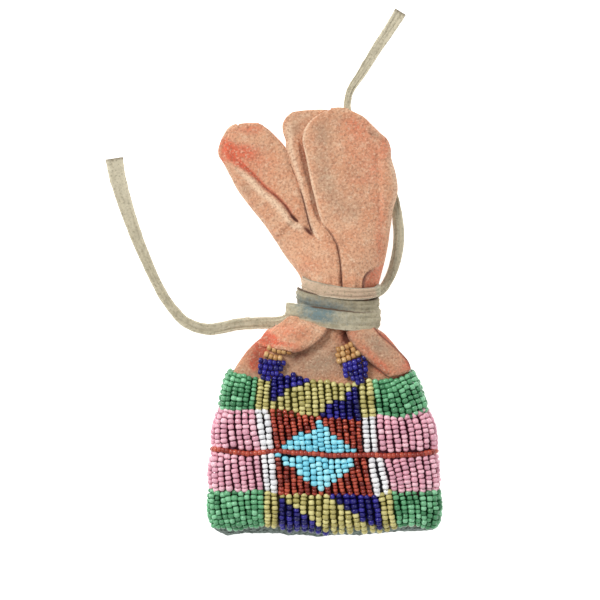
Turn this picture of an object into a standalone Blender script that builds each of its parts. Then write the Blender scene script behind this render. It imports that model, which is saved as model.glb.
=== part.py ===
"""Beaded paint bag lying on its back: hide pouch, bead lanes, thong tie and mouth lobes.

X runs to the right, Y towards the mouth and Z up from the surface the bag lies on.
The origin is on that surface, under the middle of the bag.
"""

import math

import bmesh
import bpy
from mathutils import Vector

# Clearances
GAP = 0.0003
FILL_GAP = 0.0011
NUDGE = 0.0001

# Hide
HIDE_THICKNESS = 0.0012
LOBE_THICKNESS = 0.0012

# Pouch
POUCH_LENGTH = 0.0578
POUCH_HALF_WIDTH = 0.0306
POUCH_TOP = 0.0130
BEAD_DIAMETER = 0.0019
POUCH_BACK = BEAD_DIAMETER + GAP
SEAM_LENGTH = 0.0007
SEAM_HALF_WIDTH = 0.0285
SEAM_THICKNESS = 0.0020
FRONT_SQUARENESS = 2.7
BACK_SQUARENESS = 3.2

# Neck, oval and narrower towards the mouth
NECK_LENGTH = 0.0130
NECK_LOW_HALF_WIDTH = 0.0110
NECK_HIGH_HALF_WIDTH = 0.0100
NECK_LOW_X = 0.0025
NECK_HIGH_X = 0.0040
NECK_HALF_HEIGHT = 0.0052
NECK_FOLDS = 13
NECK_FOLD_SHARE = 0.035

# Mouth above the tie, its hide still gathered for the length of the stem
MOUTH_LENGTH = 0.0481
STEM_LENGTH = 0.0023
BAG_LENGTH = POUCH_LENGTH + NECK_LENGTH + MOUTH_LENGTH

# Thong tie, flat and lightly rolled; its turns hang lower at the front and on the right
THONG_WIDTH = 0.0034
THONG_THICKNESS = 0.0013
TAIL_WIDTH = 0.0034
WRAP_PITCH = 0.0040
WRAP_BELOW_MOUTH = 0.00885
WRAP_SLANT = 0.0022
WRAP_SAG = 0.0017
WRAP_TURN_POINTS = 24
TAIL_POINT_SPACING = 0.0034

# Bead lanes
LANE_ROWS = 8
PLAIN_ROWS = 4
BACK_ROWS = 3
LANE_CROWN = 0.0024
LANE_END = 0.0013
RIB_DEPTH = 0.0008
BACK_STRINGS = 34
BACK_CREST_SHARES = (0.25, 0.75)
CROWN_POWER = 0.7
STRING_DIAMETER = 0.0017
TAB_THICKNESS = 0.0015

# Places along Y that follow from the lengths above
BOTTOM_Y = -BAG_LENGTH / 2
NECK_LOW_Y = BOTTOM_Y + POUCH_LENGTH
NECK_HIGH_Y = NECK_LOW_Y + NECK_LENGTH
NECK_Z = POUCH_BACK + NECK_HALF_HEIGHT - GAP
NECK_TOP = NECK_Z + NECK_HALF_HEIGHT

# Grids
PANEL_COLUMNS = 22
PANEL_ROWS = 11
FILL_SIDES = 24
SECTION_STEPS = 48
NECK_ROWS = 3
LOBE_COLUMNS = 8
LOBE_STEPS_PER_ROW = 2
SHOULDER_COLUMNS = 4
STRING_STEPS = 36
TAIL_STEPS = 400

# Pouch sections: place along the pouch length, left and right edge as shares of the half
# width, and front, widest line and back as shares of the height of the pouch's front
POUCH_SECTION_SHARES = [
    (0.000, -0.920, 0.920, 0.36, 0.26, 0.00),
    (0.045, -0.970, 0.970, 0.56, 0.34, 0.00),
    (0.131, -1.000, 1.000, 0.76, 0.42, 0.00),
    (0.304, -0.993, 0.987, 0.93, 0.48, 0.00),
    (0.512, -0.961, 0.957, 1.00, 0.51, 0.00),
    (0.607, -0.915, 0.890, 1.00, 0.52, 0.00),
    (0.789, -0.830, 0.765, 0.97, 0.52, 0.00),
    (0.860, -0.750, 0.715, 0.94, 0.52, 0.00),
    (0.940, -0.610, 0.610, 0.92, 0.52, 0.00),
    (1.000, -0.420, 0.490, 0.93, 0.52, 0.00),
]

# Lane borders at the side seams, from the top lane down, as shares of the pouch length
# measured from the bottom, and how far each sags at the middle as a share of the same
LANE_BORDER_SHARES = [
    (0.791, 0.609),
    (0.609, 0.425),
    (0.394, 0.228),
    (0.228, 0.056),
]
LANE_SAG_SHARES = [(0.036, 0.033), (0.033, 0.013), (0.018, 0.029), (0.029, 0.022)]
STRING_Y_SHARE = 0.4095
STRING_SAG_SHARE = 0.0155

# Blocks of every lane from left to right, the bead strings in each, and the borders between
# them as shares of the pouch half width; the outer blocks run to the side seams
BLOCK_NAMES = ("left_end", "left_band", "pattern", "right_band", "right_end")
LANE_STRINGS = [
    (7, 2, 13, 2, 9),
    (7, 2, 14, 2, 9),
    (8, 2, 14, 2, 8),
    (10, 2, 14, 2, 8),
]
BLOCK_BORDER_SHARES = [
    (-0.618, -0.490, 0.314, 0.454),
    (-0.627, -0.500, 0.337, 0.474),
    (-0.575, -0.448, 0.412, 0.582),
    (-0.549, -0.418, 0.510, 0.631),
]

# Beads of the figure on each string of the pattern, counted from the lane's top or bottom
LANE_1_BLUE_TOP = [7, 6, 5, 4, 2, 1, 0, 0, 0, 0, 0, 0, 0]
LANE_1_BLUE_BOTTOM = [0, 0, 0, 0, 0, 0, 0, 0, 1, 3, 4, 6, 7]
LANE_2_TURQUOISE_BOTTOM = [0, 0, 1, 2, 3, 4, 5, 7, 6, 4, 3, 2, 1, 0]
LANE_3_TURQUOISE_TOP = [1, 2, 3, 4, 5, 6, 7, 6, 5, 4, 3, 2, 0, 0]
LANE_4_BLUE_BOTTOM = [7, 6, 5, 4, 3, 2, 1, 0, 0, 0, 0, 0, 0, 0]
LANE_4_BLUE_TOP = [0, 0, 0, 0, 0, 0, 0, 1, 2, 3, 4, 5, 6, 7]

# Mouth sheets: each row is left x, left y, left height, right x, right y, right height and
# crown. X and Y are shares of the mouth length, Y from the neck's end, and the heights and
# crowns are shares of the height of the neck's top. The first row follows the neck.
THROAT_ROW_SHARES = [
    (-0.216, 0.116, 0.39, 0.091, 0.183, 0.78, 0.16),
    (-0.239, 0.173, 0.33, 0.108, 0.326, 0.53, 0.11),
]
LEFT_LOBE_ROW_SHARES = [
    (-0.245, 0.182, 0.33, -0.071, 0.262, 0.51, 0.05),
    (-0.414, 0.405, 0.19, -0.112, 0.422, 0.38, 0.12),
    (-0.505, 0.538, 0.13, -0.137, 0.526, 0.29, 0.09),
    (-0.557, 0.653, 0.10, -0.187, 0.653, 0.21, 0.06),
    (-0.598, 0.734, 0.09, -0.220, 0.769, 0.15, 0.04),
    (-0.593, 0.815, 0.09, -0.262, 0.827, 0.12, 0.02),
    (-0.546, 0.885, 0.09, -0.304, 0.873, 0.10, 0.01),
    (-0.489, 0.913, 0.09, -0.353, 0.909, 0.09, 0.00),
]
MIDDLE_LOBE_ROW_SHARES = [
    (-0.054, 0.268, 0.51, 0.100, 0.339, 0.50, 0.03),
    (-0.096, 0.422, 0.37, 0.094, 0.449, 0.32, 0.02),
    (-0.166, 0.653, 0.18, 0.083, 0.663, 0.13, 0.00),
    (-0.208, 0.807, 0.10, 0.062, 0.813, 0.08, 0.00),
    (-0.222, 0.923, 0.08, 0.037, 0.931, 0.07, 0.00),
    (-0.170, 0.977, 0.07, -0.004, 0.979, 0.07, 0.00),
]
RIGHT_LOBE_ROW_SHARES = [
    (0.100, 0.048, 0.99, 0.331, 0.037, 0.46, 0.18),
    (0.094, 0.152, 0.95, 0.360, 0.141, 0.38, 0.16),
    (0.067, 0.243, 0.85, 0.378, 0.245, 0.32, 0.13),
    (-0.031, 0.405, 0.58, 0.405, 0.432, 0.25, 0.10),
    (-0.078, 0.597, 0.41, 0.424, 0.557, 0.21, 0.07),
    (-0.102, 0.734, 0.31, 0.380, 0.723, 0.21, 0.04),
    (-0.112, 0.869, 0.23, 0.353, 0.827, 0.21, 0.03),
    (-0.067, 0.944, 0.21, 0.258, 0.927, 0.20, 0.02),
    (0.021, 1.000, 0.20, 0.156, 0.992, 0.20, 0.00),
]
MOUTH_BACK_ROW_SHARES = [
    (-0.062, 0.085, 0.13, 0.301, 0.085, 0.13, 0.00),
    (-0.062, 0.272, 0.07, 0.291, 0.272, 0.07, 0.00),
]
# Part of the neck's oval that each sheet starts from, in turns from the right side
THROAT_STEM_SHARES = (0.49, 0.26)
RIGHT_STEM_SHARES = (0.215, 0.01)
BACK_STEM_SHARES = (0.60, 0.90)

# Pieces on the shoulders: rows of left x, left y, right x and right y, with X as shares of
# the pouch half width and Y as shares of the pouch length down from the neck
LEFT_PLEAT_ROW_SHARES = [
    (-0.300, -0.012, 0.030, -0.012),
    (-0.430, -0.042, -0.075, -0.062),
    (-0.515, -0.072, -0.190, -0.100),
    (-0.560, -0.090, -0.270, -0.112),
]
RIGHT_PLEAT_ROW_SHARES = [
    (0.185, -0.012, 0.420, -0.012),
    (0.285, -0.080, 0.540, -0.070),
    (0.355, -0.122, 0.610, -0.112),
    (0.420, -0.160, 0.660, -0.150),
    (0.500, -0.192, 0.665, -0.184),
]
LEFT_TAB_GOLD_ROW_SHARES = [
    (-0.515, -0.100, -0.325, -0.126),
    (-0.560, -0.146, -0.400, -0.160),
]
LEFT_TAB_BLUE_ROW_SHARES = [
    (-0.580, -0.158, -0.375, -0.172),
    (-0.595, -0.200, -0.440, -0.212),
]
RIGHT_TAB_GOLD_ROW_SHARES = [
    (0.122, -0.100, 0.250, -0.088),
    (0.122, -0.152, 0.315, -0.124),
]
RIGHT_TAB_BLUE_ROW_SHARES = [
    (0.180, -0.172, 0.365, -0.146),
    (0.190, -0.212, 0.375, -0.203),
]

# Free tails of the thong, chosen by eye, in metres, after each tail's straight start
LEFT_TAIL_POINTS = [
    (-0.0113, 0.0043, 0.0028),
    (-0.0127, 0.0028, 0.0013),
    (-0.0146, 0.0010, 0.0009),
    (-0.0172, -0.0001, 0.0008),
    (-0.0240, -0.0005, 0.0008),
    (-0.0322, -0.0019, 0.0008),
    (-0.0385, 0.0001, 0.0008),
    (-0.0424, 0.0040, 0.0008),
    (-0.0457, 0.0090, 0.0008),
    (-0.0499, 0.0179, 0.0008),
    (-0.0540, 0.0285, 0.0008),
    (-0.0574, 0.0396, 0.0008),
    (-0.0585, 0.0457, 0.0008),
]
RIGHT_TAIL_POINTS = [
    (0.0176, 0.0108, 0.0020),
    (0.0190, 0.0146, 0.0009),
    (0.0203, 0.0196, 0.0008),
    (0.0207, 0.0250, 0.0008),
    (0.0199, 0.0314, 0.0008),
    (0.0180, 0.0386, 0.0008),
    (0.0145, 0.0456, 0.0008),
    (0.0099, 0.0521, 0.0008),
    (0.0066, 0.0585, 0.0008),
    (0.0070, 0.0640, 0.0008),
    (0.0104, 0.0695, 0.0008),
    (0.0144, 0.0760, 0.0008),
    (0.0183, 0.0818, 0.0008),
    (0.0212, 0.0865, 0.0008),
]
# Width of each tail along its length, as shares of the tail's width
LEFT_TAIL_WIDTH_SHARES = [(0.88,), (0.98,), (0.85,), (0.78,), (0.88,), (0.98,), (1.06,), (1.18,)]
RIGHT_TAIL_WIDTH_SHARES = [(0.88,), (0.92,), (0.90,), (0.86,), (0.78,), (0.90,), (1.02,), (1.10,)]
# Where the tie leaves the oval of the neck, and the front of the neck, in turns from its
# right side
WRAP_START_SHARE = 0.47
WRAP_END_SHARE = -1.958
FRONT_TURN_SHARE = 0.25

COLOURS = {
    "hide": (0.62, 0.36, 0.24),
    "hide_inner": (0.58, 0.28, 0.18),
    "hide_seam": (0.10, 0.13, 0.12),
    "ochre": (0.35, 0.07, 0.03),
    "thong": (0.40, 0.38, 0.27),
    "green": (0.16, 0.52, 0.30),
    "pink": (0.78, 0.32, 0.42),
    "white": (0.85, 0.85, 0.84),
    "red": (0.38, 0.05, 0.03),
    "turquoise": (0.20, 0.66, 0.80),
    "gold": (0.45, 0.40, 0.14),
    "tan": (0.60, 0.36, 0.12),
    "blue": (0.03, 0.03, 0.30),
}
ROUGHNESS = {"hide": 0.95, "hide_inner": 0.95, "hide_seam": 0.9, "ochre": 1.0, "thong": 0.9}
BEAD_ROUGHNESS = 0.25


def empty_scene():
    """Remove every object that the scene starts with."""
    for thing in list(bpy.data.objects):
        bpy.data.objects.remove(thing)


def bag_collection():
    """The collection that holds the bag's pieces."""
    collection = bpy.data.collections.new("beaded_paint_bag")
    bpy.context.scene.collection.children.link(collection)
    return collection


def finish(thing, colour):
    """Give a piece its own material in one of the bag's colours."""
    material = bpy.data.materials.new(thing.name)
    material.use_nodes = True
    shader = material.node_tree.nodes["Principled BSDF"]
    shader.inputs["Base Color"].default_value = (*COLOURS[colour], 1)
    shader.inputs["Roughness"].default_value = ROUGHNESS.get(colour, BEAD_ROUGHNESS)
    shader.inputs["Metallic"].default_value = 0
    material.diffuse_color = (*COLOURS[colour], 1)
    thing.data.materials.append(material)


def add_mesh(name, mesh_builder, colour, smooth=True):
    """Turn a bmesh into a named piece with its faces turned outwards."""
    bmesh.ops.recalc_face_normals(mesh_builder, faces=mesh_builder.faces[:])
    mesh = bpy.data.meshes.new(name)
    mesh_builder.to_mesh(mesh)
    mesh_builder.free()
    if smooth:
        mesh.shade_smooth()
    piece = bpy.data.objects.new(name, mesh)
    BAG.objects.link(piece)
    finish(piece, colour)
    return piece


def between(first, last, share):
    """The value at a share of the way from the first to the last."""
    return first + (last - first) * share


def along_table(rows, share):
    """A smooth row at a share from 0 to 1 of the table's rows, through every row."""
    span = len(rows) - 1
    place = min(max(share, 0), 1) * span
    index = min(int(place), span - 1)
    local = place - index
    before = rows[max(index - 1, 0)]
    start = rows[index]
    end = rows[index + 1]
    after = rows[min(index + 2, span)]
    return [catmull_rom(*four, local) for four in zip(before, start, end, after)]


def catmull_rom(before, start, end, after, local):
    """One value of a curve that passes through its points."""
    linear = (end - before) * local
    square = (2 * before - 5 * start + 4 * end - after) * local**2
    cube = (3 * start - before - 3 * end + after) * local**3
    return start + (linear + square + cube) / 2


def pouch_section(y):
    """Left, right, front, widest line and back of the pouch's hide at a place along Y."""
    place = (y - BOTTOM_Y) / POUCH_LENGTH
    rows = POUCH_SECTION_SHARES
    index = max(k for k in range(len(rows) - 1) if k == 0 or rows[k][0] <= place)
    start, end = rows[index], rows[index + 1]
    local = (place - start[0]) / (end[0] - start[0])
    local = min(max(local, 0), 1)
    values = []
    for column in range(1, len(start)):
        slope_in = table_slope(rows, index, column) * (end[0] - start[0])
        slope_out = table_slope(rows, index + 1, column) * (end[0] - start[0])
        values.append(hermite(start[column], end[column], slope_in, slope_out, local))
    left, right, front, edge, back = values
    depth = POUCH_TOP - POUCH_BACK
    return (
        left * POUCH_HALF_WIDTH,
        right * POUCH_HALF_WIDTH,
        POUCH_BACK + front * depth,
        POUCH_BACK + edge * depth,
        POUCH_BACK + back * depth,
    )


def table_slope(rows, index, column):
    """Slope of a table's column at one of its rows."""
    low = rows[max(index - 1, 0)]
    high = rows[min(index + 1, len(rows) - 1)]
    return (high[column] - low[column]) / (high[0] - low[0])


def hermite(start, end, slope_in, slope_out, local):
    """A value between two others with a slope at each."""
    square, cube = local**2, local**3
    return (
        start * (2 * cube - 3 * square + 1)
        + slope_in * (cube - 2 * square + local)
        + end * (3 * square - 2 * cube)
        + slope_out * (cube - square)
    )


def half_section(y, front, inset=0.0):
    """Points of the front or the back half of the pouch's section, from left to right."""
    left, right, top, edge, back = pouch_section(y)
    middle = (left + right) / 2
    half_width = (right - left) / 2 - inset
    height = (top - edge if front else back - edge) - math.copysign(inset, 1 if front else -1)
    power = 2 / (FRONT_SQUARENESS if front else BACK_SQUARENESS)
    points = []
    for step in range(SECTION_STEPS + 1):
        angle = math.pi * (1 - step / SECTION_STEPS)
        across = math.copysign(abs(math.cos(angle)) ** power, math.cos(angle))
        points.append(Vector((middle + half_width * across, y, edge + height * math.sin(angle) ** power)))
    return points


def arc_lengths(points):
    """Length along the points to each of them, counted from where they cross x = 0."""
    lengths = [0]
    for start, end in zip(points, points[1:]):
        lengths.append(lengths[-1] + (end - start).length)
    centre = length_at_x(points, lengths, 0)
    return [length - centre for length in lengths]


def length_at_x(points, lengths, x):
    """Length along a half section at a value of x."""
    for index, (start, end) in enumerate(zip(points, points[1:])):
        if start.x <= x <= end.x and end.x > start.x:
            return between(lengths[index], lengths[index + 1], (x - start.x) / (end.x - start.x))
    return lengths[0] if x < points[0].x else lengths[-1]


def point_at_length(points, lengths, length):
    """Point of a half section at a length along it."""
    for index, (start, end) in enumerate(zip(lengths, lengths[1:])):
        if length <= end or index == len(lengths) - 2:
            return points[index].lerp(points[index + 1], (length - start) / (end - start))
    return points[-1]


def skin(y, length, front, lift):
    """Point at a height above the pouch's hide, at a place along Y and round the section."""
    points = half_section(y, front)
    here = point_at_length(points, arc_lengths(points), length)
    beside = point_at_length(points, arc_lengths(points), length + NUDGE)
    next_points = half_section(y + NUDGE, front)
    above = point_at_length(next_points, arc_lengths(next_points), length)
    normal = (beside - here).cross(above - here).normalized()
    if not front:
        normal.negate()
    return here + normal * lift


def front_height(x, y):
    """Height of the pouch's front at a place on it."""
    left, right, top, edge, _ = pouch_section(y)
    across = abs((x - (left + right) / 2) / ((right - left) / 2))
    rise = max(1 - across**FRONT_SQUARENESS, 0) ** (1 / FRONT_SQUARENESS)
    return edge + (top - edge) * rise


def grid_faces(builder, rows, closed=False):
    """Join rows of vertices with four-sided faces."""
    for low, high in zip(rows, rows[1:]):
        count = len(low)
        for k in range(count if closed else count - 1):
            nxt = (k + 1) % count
            builder.faces.new((low[k], low[nxt], high[nxt], high[k]))


def hide_panel(name, front):
    """One side of the pouch: a sheet of hide from the bottom seam to the tie."""
    builder = bmesh.new()
    low = BOTTOM_Y + SEAM_LENGTH + GAP
    high = NECK_LOW_Y - GAP
    walls = []
    for inset in (0, HIDE_THICKNESS):
        rows = []
        for row in range(PANEL_ROWS + 1):
            points = half_section(between(low, high, row / PANEL_ROWS), front, inset)
            lengths = arc_lengths(points)
            first, last = lengths[0] + GAP / 2, lengths[-1] - GAP / 2
            places = [between(first, last, column / PANEL_COLUMNS) for column in range(PANEL_COLUMNS + 1)]
            rows.append([builder.verts.new(point_at_length(points, lengths, place)) for place in places])
        grid_faces(builder, rows)
        walls.append(rows)
    for rim in rims(*walls):
        grid_faces(builder, rim)
    return add_mesh(name, builder, "hide")


def paint_fill():
    """The pigment inside the pouch, clear of the hide all round."""
    builder = bmesh.new()
    inset = HIDE_THICKNESS + FILL_GAP
    low = BOTTOM_Y + SEAM_LENGTH + GAP + HIDE_THICKNESS
    high = NECK_LOW_Y - HIDE_THICKNESS - GAP
    rows = []
    for row in range(PANEL_ROWS + 1):
        y = between(low, high, row / PANEL_ROWS)
        front = half_section(y, True, inset)
        back = half_section(y, False, inset)
        half = FILL_SIDES // 2
        step = SECTION_STEPS // half
        ring = [front[k * step] for k in range(half)] + [back[-1 - k * step] for k in range(half)]
        rows.append([builder.verts.new(point) for point in ring])
    grid_faces(builder, rows, closed=True)
    builder.faces.new(rows[0])
    builder.faces.new(rows[-1])
    return add_mesh("paint_fill", builder, "ochre")


def bottom_seam():
    """The strip of hide sewn between the panels along the bottom."""
    _, _, top, _, back = pouch_section(BOTTOM_Y)
    bpy.ops.mesh.primitive_cube_add(size=1)
    piece = bpy.context.object
    piece.name = piece.data.name = "bottom_seam"
    for vertex in piece.data.vertices:
        vertex.co.x *= 2 * SEAM_HALF_WIDTH
        vertex.co.y *= SEAM_LENGTH
        vertex.co.z *= SEAM_THICKNESS
    piece.location = (0, BOTTOM_Y + SEAM_LENGTH / 2, (top + back) / 2)
    move_to_bag(piece)
    finish(piece, "hide_seam")
    return piece


def move_to_bag(piece):
    """Put a piece made by an operator in the bag's collection."""
    for collection in list(piece.users_collection):
        collection.objects.unlink(piece)
    BAG.objects.link(piece)


def neck_oval(y, turn, lift=0.0):
    """Point of the neck's oval, at a turn counted from its right side over the front."""
    share = (y - NECK_LOW_Y) / NECK_LENGTH
    half_width = between(NECK_LOW_HALF_WIDTH, NECK_HIGH_HALF_WIDTH, share) + lift
    middle = between(NECK_LOW_X, NECK_HIGH_X, share)
    angle = 2 * math.pi * turn
    return Vector(
        (middle + half_width * math.cos(angle), y, NECK_Z + (NECK_HALF_HEIGHT + lift) * math.sin(angle))
    )


def neck():
    """The hide gathered inside the tie, with its folds running along the neck."""
    builder = bmesh.new()
    rows = []
    sides = 2 * NECK_FOLDS
    for row in range(NECK_ROWS + 1):
        y = between(NECK_LOW_Y, NECK_HIGH_Y - GAP, row / NECK_ROWS)
        ring = []
        for side in range(sides):
            depth = NECK_HALF_HEIGHT * NECK_FOLD_SHARE * (side % 2)
            ring.append(builder.verts.new(neck_oval(y, side / sides, -depth)))
        rows.append(ring)
    grid_faces(builder, rows, closed=True)
    builder.faces.new(rows[0])
    builder.faces.new(rows[-1])
    return add_mesh("neck_gather", builder, "hide")


def lobe_sheet(name, row_shares, colour, stems=()):
    """A lobe of hide: a sheet through its rows, starting on the neck where it has stems."""
    rows = list(stems) + [lobe_row(shares) for shares in row_shares]
    steps = LOBE_STEPS_PER_ROW * (len(rows) - 1)
    builder = bmesh.new()
    grid = []
    for step in range(steps + 1):
        left_x, left_y, left_z, right_x, right_y, right_z, crown = along_table(rows, step / steps)
        line = []
        for column in range(LOBE_COLUMNS + 1):
            share = column / LOBE_COLUMNS
            bow = crown * 4 * share * (1 - share)
            x, y = between(left_x, right_x, share), between(left_y, right_y, share)
            line.append(builder.verts.new((x, y, between(left_z, right_z, share) + bow)))
        grid.append(line)
    grid_faces(builder, grid)
    piece = add_mesh(name, builder, colour)
    wall = piece.modifiers.new("hide thickness", "SOLIDIFY")
    wall.thickness = LOBE_THICKNESS
    wall.offset = 0
    return piece


def lobe_row(shares):
    """A row of a mouth sheet in metres."""
    left_x, left_y, left_z, right_x, right_y, right_z, crown = shares
    return (
        left_x * MOUTH_LENGTH,
        NECK_HIGH_Y + left_y * MOUTH_LENGTH,
        left_z * NECK_TOP,
        right_x * MOUTH_LENGTH,
        NECK_HIGH_Y + right_y * MOUTH_LENGTH,
        right_z * NECK_TOP,
        crown * NECK_TOP,
    )


def stem_row(turns, beyond):
    """A row of a sheet on the neck's oval, at a distance beyond the neck."""
    left_turn, right_turn = turns
    y = NECK_HIGH_Y + beyond
    lift = -LOBE_THICKNESS / 2
    left = neck_oval(y, left_turn, lift)
    right = neck_oval(y, right_turn, lift)
    middle = neck_oval(y, (left_turn + right_turn) / 2, lift)
    crown = middle.z - (left.z + right.z) / 2
    return (left.x, y, left.z, right.x, y, right.z, crown)


def shoulder_sheet(name, row_shares, thickness, colour):
    """A piece that lies on the pouch's shoulder: a pleat of hide or a strip of beads."""
    builder = bmesh.new()
    lift = GAP + thickness
    steps = LOBE_STEPS_PER_ROW * (len(row_shares) - 1)
    grid = []
    for step in range(steps + 1):
        left_x, left_y, right_x, right_y = along_table(row_shares, step / steps)
        line = []
        for column in range(SHOULDER_COLUMNS + 1):
            share = column / SHOULDER_COLUMNS
            x = between(left_x, right_x, share) * POUCH_HALF_WIDTH
            y = NECK_LOW_Y + between(left_y, right_y, share) * POUCH_LENGTH
            line.append(builder.verts.new((x, y, front_height(x, y) + lift)))
        grid.append(line)
    grid_faces(builder, grid)
    piece = add_mesh(name, builder, colour)
    if piece.data.polygons[0].normal.z < 0:
        piece.data.flip_normals()
    wall = piece.modifiers.new("thickness", "SOLIDIFY")
    wall.thickness = thickness
    wall.offset = -1
    return piece


def lane_columns(lane):
    """Borders between the strings of a lane: block index and share across the block."""
    columns = []
    for block, strings in enumerate(LANE_STRINGS[lane]):
        columns += [(block, k / strings) for k in range(strings)]
    columns.append((len(LANE_STRINGS[lane]) - 1, 1))
    return columns


def column_place(lane, block, share, points, lengths):
    """Length round the section of a string border."""
    borders = BLOCK_BORDER_SHARES[lane]
    start, end = lengths[0], lengths[-1]
    if block > 0:
        start = length_at_x(points, lengths, borders[block - 1] * POUCH_HALF_WIDTH)
    if block < len(borders):
        end = length_at_x(points, lengths, borders[block] * POUCH_HALF_WIDTH)
    return between(start, end, share)


def lane_y(lane, across, down):
    """Place along Y in a lane: across from -1 to 1 between the sides, down from 0 to 1."""
    high, low = LANE_BORDER_SHARES[lane]
    high_sag, low_sag = LANE_SAG_SHARES[lane]
    dip = 1 - across**2
    share = between(high - high_sag * dip, low - low_sag * dip, down)
    return BOTTOM_Y + share * POUCH_LENGTH


def lane_rise(down):
    """Height of a lane's beads over the hide, from its tucked ends to its crown."""
    return between(LANE_END, LANE_CROWN, max(math.sin(math.pi * down), 0) ** CROWN_POWER)


def lane_corner(lane, column, down, lift, shift=0.0):
    """Point over the pouch's front at a string border or a string's middle."""
    columns = lane_columns(lane)
    across = 2 * column / (len(columns) - 1) - 1
    y = lane_y(lane, across, down)
    points = half_section(y, True)
    lengths = arc_lengths(points)
    place = column_place(lane, *columns[int(column)], points, lengths)
    if column != int(column):
        place = (place + column_place(lane, *columns[int(column) + 1], points, lengths)) / 2
    return skin(y, place + shift, True, lift)


def bead_block(name, lane, cells, rows, colour):
    """Beads of one colour in a lane, as ribbed strings, from its cells of string and row."""
    high, low = LANE_BORDER_SHARES[lane]
    row_gap = GAP / 2 / ((high - low) * POUCH_LENGTH)
    builder = bmesh.new()
    tops, bases, ridges = {}, {}, {}

    def side_steps(column, row):
        """How a corner draws back from cells that aren't in the block."""
        upper = ((column - 1, row - 1) in cells, (column, row - 1) in cells)
        lower = ((column - 1, row) in cells, (column, row) in cells)
        shift = next((1 if pair[1] else -1 for pair in (upper, lower) if pair[0] != pair[1]), 0)
        left = (upper[0], lower[0])
        right = (upper[1], lower[1])
        slide = next((1 if pair[1] else -1 for pair in (left, right) if pair[0] != pair[1]), 0)
        return shift * GAP / 2, slide * row_gap

    def corner(column, row):
        """Top and base vertices at a corner of a cell."""
        if (column, row) not in tops:
            shift, slide = side_steps(column, row)
            down = row / rows + slide
            lift = GAP + lane_rise(down)
            tops[column, row] = builder.verts.new(
                lane_corner(lane, column, down, lift - RIB_DEPTH, shift)
            )
            bases[column, row] = builder.verts.new(lane_corner(lane, column, down, GAP, shift))
        return tops[column, row], bases[column, row]

    def ridge(column, row):
        """Vertex on a string's crest at a row border."""
        if (column, row) not in ridges:
            above, below = (column, row - 1) in cells, (column, row) in cells
            slide = 0 if above == below else row_gap * (1 if below else -1)
            down = row / rows + slide
            ridges[column, row] = builder.verts.new(
                lane_corner(lane, column + 0.5, down, GAP + lane_rise(down))
            )
        return ridges[column, row]

    for column, row in sorted(cells):
        top_a, base_a = corner(column, row)
        top_b, base_b = corner(column + 1, row)
        top_c, base_c = corner(column + 1, row + 1)
        top_d, base_d = corner(column, row + 1)
        crest_high, crest_low = ridge(column, row), ridge(column, row + 1)
        builder.faces.new((top_a, top_d, crest_low, crest_high))
        builder.faces.new((crest_high, crest_low, top_c, top_b))
        builder.faces.new((base_a, base_b, base_c, base_d))
        if (column - 1, row) not in cells:
            builder.faces.new((top_a, base_a, base_d, top_d))
        if (column + 1, row) not in cells:
            builder.faces.new((top_b, top_c, base_c, base_b))
        if (column, row - 1) not in cells:
            builder.faces.new((top_a, crest_high, top_b, base_b, base_a))
        if (column, row + 1) not in cells:
            builder.faces.new((top_d, base_d, base_c, top_c, crest_low))
    return add_mesh(name, builder, colour, smooth=False)


def block_strings(lane, name):
    """Number of the first string of a named block of a lane, and how many it has."""
    block = BLOCK_NAMES.index(name)
    return sum(LANE_STRINGS[lane][:block]), LANE_STRINGS[lane][block]


def whole_strings(lane, name, rows):
    """Every cell of one block of a lane."""
    start, strings = block_strings(lane, name)
    return {(start + k, row) for k in range(strings) for row in range(rows)}


def counted_cells(lane, counts, from_top):
    """Cells of a figure that has so many beads on each string of the pattern."""
    start, _ = block_strings(lane, "pattern")
    cells = set()
    for k, count in enumerate(counts):
        rows = range(count) if from_top else range(LANE_ROWS - count, LANE_ROWS)
        cells |= {(start + k, row) for row in rows}
    return cells


def stepped_lane(lane, blue_left, blue_right):
    """Lanes 1 and 4: green ends and a gold band between two blue triangles."""
    name = f"lane_{lane + 1}"
    for side in ("left", "right"):
        green = whole_strings(lane, f"{side}_end", PLAIN_ROWS)
        bead_block(f"{name}_green_{side}", lane, green, PLAIN_ROWS, "green")
    gold = set()
    for block in ("left_band", "pattern", "right_band"):
        gold |= whole_strings(lane, block, LANE_ROWS)
    bead_block(f"{name}_gold_band", lane, gold - blue_left - blue_right, LANE_ROWS, "gold")
    bead_block(f"{name}_blue_left", lane, blue_left, LANE_ROWS, "blue")
    bead_block(f"{name}_blue_right", lane, blue_right, LANE_ROWS, "blue")


def diamond_lane(lane, turquoise):
    """Lanes 2 and 3: pink ends, white strings and a turquoise triangle on red."""
    name = f"lane_{lane + 1}"
    for side in ("left", "right"):
        pink = whole_strings(lane, f"{side}_end", PLAIN_ROWS)
        white = whole_strings(lane, f"{side}_band", PLAIN_ROWS)
        bead_block(f"{name}_pink_{side}", lane, pink, PLAIN_ROWS, "pink")
        bead_block(f"{name}_white_{side}", lane, white, PLAIN_ROWS, "white")
    field = whole_strings(lane, "pattern", LANE_ROWS) - turquoise
    bead_block(f"{name}_red_field", lane, field, LANE_ROWS, "red")
    bead_block(f"{name}_turquoise", lane, turquoise, LANE_ROWS, "turquoise")


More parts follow.
